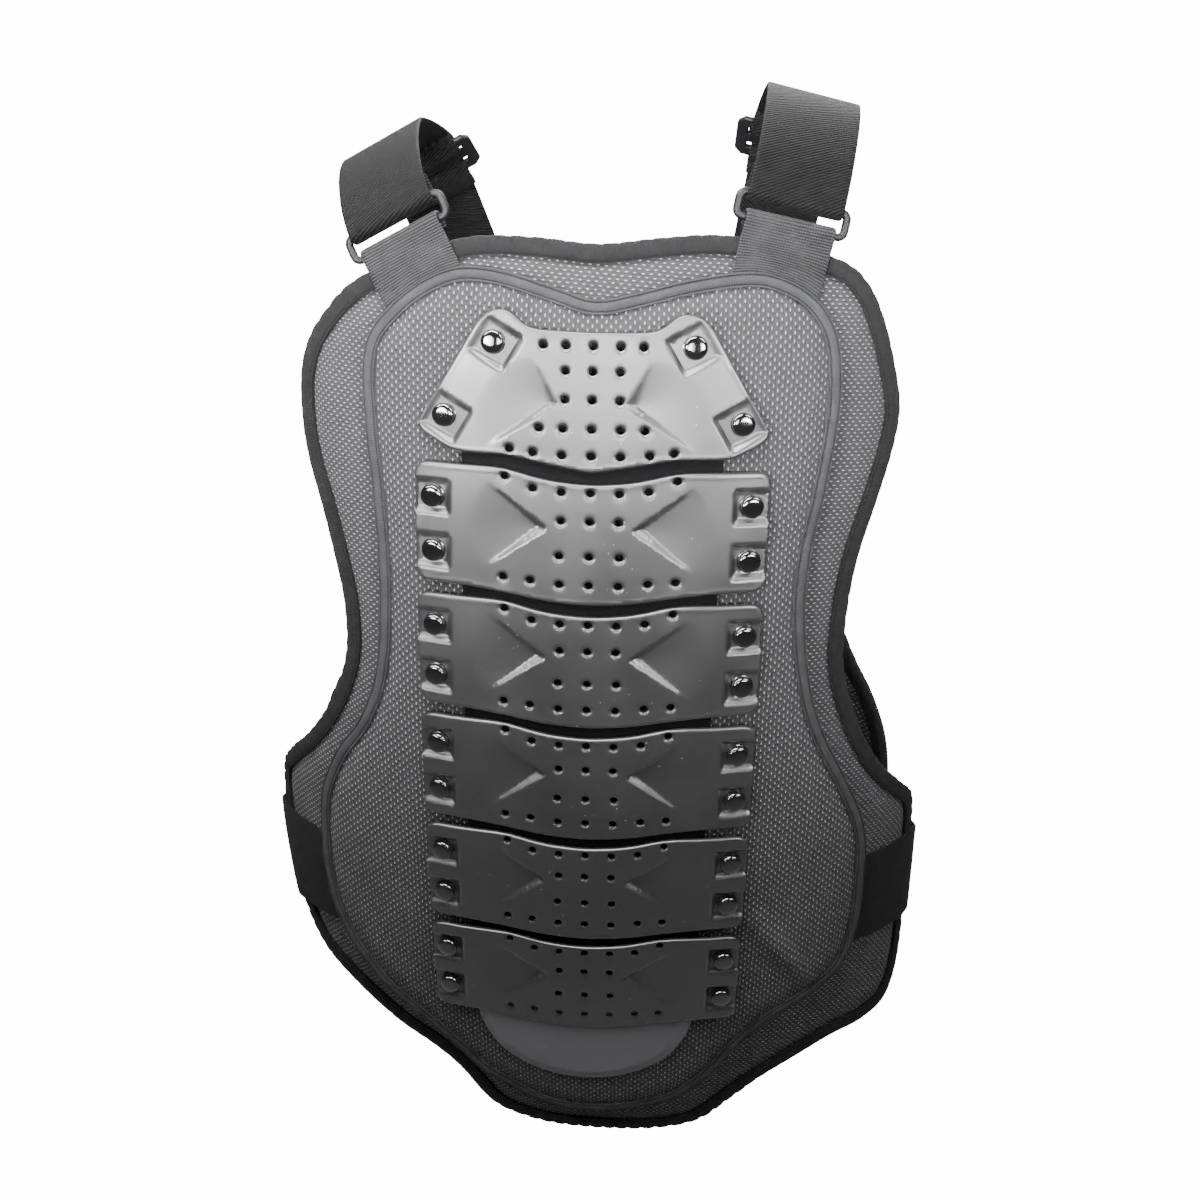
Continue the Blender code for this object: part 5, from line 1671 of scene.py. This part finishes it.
class VEST_OT_shoulder_webbing(bpy.types.Operator):
    """Makes the shoulder straps, the grey tabs and the webbing behind the shoulders"""

    bl_idname = "vest.shoulder_webbing"
    bl_label = "Shoulder webbing"

    def execute(self, context):
        tuck_loop = inset(panel_loop(INNER_OUTLINE), 0.005)
        for row in STRAP_SIDES:
            plan = StrapPlan(row)
            shoulder_strap(plan)
            strap_tab(plan, tuck_loop)
            rear_web(plan)
        return {"FINISHED"}


def edge_out(loop, height, sign):
    """How far out a loop reaches on one side at a height."""
    start, end = np.roll(loop, 1, 0), loop
    crossed = (start[:, 1] > height) != (end[:, 1] > height)
    start, end = start[crossed], end[crossed]
    outs = start[:, 0] + (height - start[:, 1]) / (end[:, 1] - start[:, 1]) * (end[:, 0] - start[:, 0])
    return outs.max() if sign > 0 else outs.min()


class VEST_OT_waist_elastics(bpy.types.Operator):
    """Makes the two elastic bands round the waist"""

    bl_idname = "vest.waist_elastics"
    bl_label = "Waist elastics"

    def execute(self, context):
        outer, back = panel_loop(OUTER_OUTLINE), panel_loop(BACK_OUTLINE)
        tuck = inset(panel_loop(INNER_OUTLINE), 0.005)
        heights = -ELASTIC_DROP - ELASTIC_WIDTH * SELVEDGE
        for side, sign in (("left", -1), ("right", 1)):
            starts = np.array([edge_out(tuck, height, sign) for height in heights])
            ends = np.array([edge_out(outer, height, sign) for height in heights])
            rears = np.array([edge_out(back, height, sign) for height in heights])
            lift = WEB_BASE + ELASTIC_THICK / 2
            rows = [
                torso_row(starts + (ends - starts) * share, heights, lift)
                for share in np.linspace(0.0, 1.0, 22)
            ]
            behind = [
                torso_row(rears + (sign * ELASTIC_BACK_END - rears) * share, heights,
                          BACK_WEB_BASE + ELASTIC_THICK / 2, True)
                for share in np.linspace(0.0, 1.0, 16)
            ]
            last, following = rows[-1], behind[0]
            for share in np.linspace(0.0, 1.0, 12)[1:-1]:
                eased = float(soft_step(np.array(share)))
                rows.append((
                    last[0] * (1 - share) + following[0] * share,
                    last[1] * (1 - eased) + following[1] * eased,
                ))
            webbing(
                f"waist_elastic_{side}", rows + behind, ELASTIC_THICK, "ribbed_elastic",
            )
        return {"FINISHED"}


# Rings and sliders


def ring_bar(plan):
    """The moulded ring: an edge loop with rounded corners, skinned as a flattened round bar."""
    half_out = STRAP_WIDTH / 2 + 0.0012 + BAR_RADIUS
    half_up = RING_BAR_SPACING / 2
    bend = BAR_RADIUS * 1.6
    centres = []
    for index, (across, above) in enumerate(((1, 1), (-1, 1), (-1, -1), (1, -1))):
        for step in range(7):
            turn = math.pi / 2 * (index + step / 6)
            outward = plan.width * math.cos(turn) + plan.up * math.sin(turn)
            centre = (
                plan.centre
                + plan.width * (across * (half_out - bend) + bend * math.cos(turn))
                + plan.up * (above * (half_up - bend) + bend * math.sin(turn))
            )
            centres.append((centre, outward))
    sides, model = 14, bmesh.new()
    rings = []
    for centre, outward in centres:
        ring = []
        for side in range(sides):
            turn = math.tau / sides * side
            square = 1.0 + 0.06 * math.cos(4 * turn + math.pi)
            way = outward * math.cos(turn) + plan.normal * math.sin(turn)
            ring.append(model.verts.new(centre + way * BAR_RADIUS * square))
        rings.append(ring)
    for index, ring in enumerate(rings):
        before = rings[index - 1]
        for side in range(sides):
            after = (side + 1) % sides
            model.faces.new((before[side], before[after], ring[after], ring[side]))
    mesh = bpy.data.meshes.new(f"strap_ring_{plan.side}_bar")
    bmesh.ops.recalc_face_normals(model, faces=model.faces)
    model.to_mesh(mesh)
    model.free()
    obj = bpy.data.objects.new(mesh.name, mesh)
    bpy.context.scene.collection.objects.link(obj)
    settle(obj, "buckle_plastic", [f"strap_ring_{plan.side}"], 60.0)


def slider_frame(side):
    """The three-bar slider: a copy of its solid, merged, cleaned and bevelled."""
    node = f"strap_slider_{side}"
    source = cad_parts[node]
    obj = source.copy()
    obj.data = source.data.copy()
    obj.name = f"{node}_frame"
    for key in list(obj.keys()):
        del obj[key]
    bpy.context.scene.collection.objects.link(obj)
    obj.parent = None
    obj.hide_render = obj.hide_viewport = False
    pick(obj)
    bpy.ops.object.mode_set(mode="EDIT")
    bpy.ops.mesh.select_all(action="SELECT")
    bpy.ops.mesh.remove_doubles(threshold=0.00002)
    bpy.ops.mesh.dissolve_limited(angle_limit=math.radians(3.0))
    bpy.ops.object.mode_set(mode="OBJECT")
    bevel = obj.modifiers.new("edges", "BEVEL")
    bevel.width = 0.0007
    bevel.segments = 3
    bevel.limit_method = "ANGLE"
    bevel.angle_limit = math.radians(30.0)
    bpy.ops.object.modifier_apply(modifier=bevel.name)
    settle(obj, "buckle_plastic", [node], 35.0)


class VEST_OT_strap_fittings(bpy.types.Operator):
    """Makes the moulded rings and sliders of the shoulder straps"""

    bl_idname = "vest.strap_fittings"
    bl_label = "Strap fittings"

    def execute(self, context):
        for row in STRAP_SIDES:
            ring_bar(StrapPlan(row))
            slider_frame(row[0])
        return {"FINISHED"}


# Stage


def area_light(name, place, aim, size, power, beam):
    data = bpy.data.lights.new(name, "AREA")
    data.shape = "RECTANGLE"
    data.size, data.size_y = size
    data.energy = power
    data.spread = math.radians(beam)
    light = bpy.data.objects.new(name, data)
    light.location = place
    light.rotation_mode = "QUATERNION"
    light.rotation_quaternion = (Vector(aim) - Vector(place)).to_track_quat("-Z", "Y")
    bpy.context.scene.collection.objects.link(light)


# Lights: name, place, aim, width and height, power in watts, beam in degrees
LIGHTS = (
    ("near_key", (-0.10, -0.33, 0.34), (-0.01, -0.08, -0.10), (0.44, 0.26), 13.0, 180.0),
    ("front_left_strip", (-0.64, -1.18, -0.03), (0.0, -0.10, -0.06), (0.70, 0.30), 1.6, 25.0),
    ("front_strip", (0.00, -1.36, -0.03), (0.0, -0.10, -0.06), (0.70, 0.30), 0.80, 25.0),
    ("front_right_strip", (0.64, -1.18, -0.03), (0.0, -0.10, -0.06), (0.70, 0.30), 1.15, 25.0),
    ("high_left_softbox", (-0.80, -0.60, 0.55), (0.0, -0.10, -0.20), (0.80, 0.60), 2.0, 45.0),
    ("high_right_softbox", (0.80, -0.60, 0.55), (0.0, -0.10, -0.20), (0.80, 0.60), 2.0, 45.0),
    ("rear_softbox", (0.10, 1.10, 0.70), (0.0, 0.05, -0.20), (1.20, 0.80), 40.0, 180.0),
)


def glow_for_camera(tree, plain, glow, output):
    """Shows the camera the glow, while other rays still meet the plain shader."""
    seen = tree.nodes.new("ShaderNodeLightPath")
    mixed = tree.nodes.new("ShaderNodeMixShader")
    tree.links.new(seen.outputs["Is Camera Ray"], mixed.inputs[0])
    tree.links.new(plain.outputs[0], mixed.inputs[1])
    tree.links.new(glow.outputs[0], mixed.inputs[2])
    tree.links.new(mixed.outputs[0], tree.nodes[output].inputs["Surface"])


# Light of the room between the lamps
ROOM_LIGHT = 0.08

# Camera: the point it aims at, the ways back and to its right, its distance, and its roll
CAMERA_AIM = (0.0055, -0.100, -0.240)
CAMERA_BACK = (0.05194, -0.92897, 0.36650)
CAMERA_RIGHT = (0.99844, 0.05582, 0.0)
CAMERA_AWAY = 0.755
CAMERA_ROLL = math.radians(1.1)


class VEST_OT_stage(bpy.types.Operator):
    """Makes the pale floor, the soft lights and the camera"""

    bl_idname = "vest.stage"
    bl_label = "Stage"

    def execute(self, context):
        look = context.scene.vest_stage
        floor_z = CAD_BOX[0][2] - look.floor_drop
        bpy.ops.object.select_all(action="DESELECT")
        bpy.ops.mesh.primitive_plane_add(size=1.0, location=(0.0, 0.0, 0.0))
        floor = context.active_object
        floor.name = "floor"
        bpy.ops.object.mode_set(mode="EDIT")
        bpy.ops.mesh.select_all(action="SELECT")
        bpy.ops.transform.resize(value=(14.0, 9.0, 1.0))
        bpy.ops.transform.translate(value=(0.0, -0.5, floor_z))
        bpy.ops.object.mode_set(mode="OBJECT")
        model = bmesh.new()
        model.from_mesh(floor.data)
        model.edges.ensure_lookup_table()
        rear = [edge for edge in model.edges if all(vert.co.y > 3.0 for vert in edge.verts)]
        for rise, back in ((0.06, 0.35), (0.20, 0.28), (0.40, 0.2), (0.6, 0.1), (4.0, 0.0)):
            made = bmesh.ops.extrude_edge_only(model, edges=rear)["geom"]
            verts = [item for item in made if isinstance(item, bmesh.types.BMVert)]
            bmesh.ops.translate(model, verts=verts, vec=(0.0, back, rise))
            rear = [item for item in made if isinstance(item, bmesh.types.BMEdge)
                    and all(vert in verts for vert in item.verts)]
        model.to_mesh(floor.data)
        model.free()
        material, tree, shader, place, _ = new_material("pale_floor", 0.9)
        shade = blend(tree, noise(tree, place, 3.0), look.floor_colour,
                      [c * 0.97 for c in look.floor_colour])
        tree.links.new(shade, shader.inputs["Base Color"])
        glow = tree.nodes.new("ShaderNodeEmission")
        glow.inputs["Strength"].default_value = look.floor_glow
        glow_for_camera(tree, shader, glow, "Material Output")
        floor.data.materials.append(material)
        pick(floor)
        bpy.ops.object.shade_smooth()
        for light in LIGHTS:
            area_light(*light)
        world = context.scene.world or bpy.data.worlds.new("soft_room")
        context.scene.world = world
        world.use_nodes = True
        sky = world.node_tree.nodes.get("Background")
        sky.inputs["Color"].default_value = (1.0, 1.0, 1.0, 1.0)
        sky.inputs["Strength"].default_value = ROOM_LIGHT
        backdrop = world.node_tree.nodes.new("ShaderNodeBackground")
        backdrop.inputs["Strength"].default_value = look.floor_glow
        glow_for_camera(world.node_tree, sky, backdrop, "World Output")
        lens = bpy.data.cameras.new("camera")
        lens.lens = look.lens
        lens.sensor_width = 36.0
        lens.clip_start, lens.clip_end = 0.05, 50.0
        camera = bpy.data.objects.new("camera", lens)
        context.scene.collection.objects.link(camera)
        back = Vector(CAMERA_BACK).normalized()
        right = Vector(CAMERA_RIGHT)
        up = back.cross(right)
        side = right * math.cos(CAMERA_ROLL) + up * math.sin(CAMERA_ROLL)
        top = up * math.cos(CAMERA_ROLL) - right * math.sin(CAMERA_ROLL)
        turn = Matrix((side, top, back)).transposed().to_4x4()
        camera.matrix_world = Matrix.Translation(Vector(CAMERA_AIM) + back * CAMERA_AWAY) @ turn
        context.scene.camera = camera
        return {"FINISHED"}


class VEST_PT_builder(bpy.types.Panel):
    """Lists the vest's pieces"""

    bl_idname = "VEST_PT_builder"
    bl_label = "Armour vest"
    bl_space_type = "VIEW_3D"
    bl_region_type = "UI"
    bl_category = "Vest"

    def draw(self, context):
        for piece in PIECES:
            self.layout.operator(piece.bl_idname)
        for group in (context.scene.vest_cloth, context.scene.vest_plates, context.scene.vest_stage):
            box = self.layout.box()
            for name in group.__annotations__:
                box.prop(group, name)


PIECES = (
    VEST_OT_padded_panels,
    VEST_OT_bindings,
    VEST_OT_inner_band,
    VEST_OT_top_plate,
    VEST_OT_stack_plates,
    VEST_OT_plate_tongues,
    VEST_OT_tail_plate,
    VEST_OT_snap_caps,
    VEST_OT_shoulder_webbing,
    VEST_OT_waist_elastics,
    VEST_OT_strap_fittings,
    VEST_OT_stage,
)
GROUPS = (VestCloth, VestPlates, VestStage)


def register():
    for group in GROUPS + PIECES + (VEST_PT_builder,):
        bpy.utils.register_class(group)
    bpy.types.Scene.vest_cloth = PointerProperty(type=VestCloth)
    bpy.types.Scene.vest_plates = PointerProperty(type=VestPlates)
    bpy.types.Scene.vest_stage = PointerProperty(type=VestStage)


def unregister():
    del bpy.types.Scene.vest_stage
    del bpy.types.Scene.vest_plates
    del bpy.types.Scene.vest_cloth
    for group in reversed(GROUPS + PIECES + (VEST_PT_builder,)):
        bpy.utils.unregister_class(group)


def main():
    register()
    bpy.ops.vest.padded_panels()
    bpy.ops.vest.bindings()
    bpy.ops.vest.inner_band()
    bpy.ops.vest.top_plate()
    bpy.ops.vest.stack_plates()
    bpy.ops.vest.plate_tongues()
    bpy.ops.vest.tail_plate()
    bpy.ops.vest.snap_caps()
    bpy.ops.vest.shoulder_webbing()
    bpy.ops.vest.waist_elastics()
    bpy.ops.vest.strap_fittings()
    bpy.ops.vest.stage()


if __name__ == "__main__":
    main()
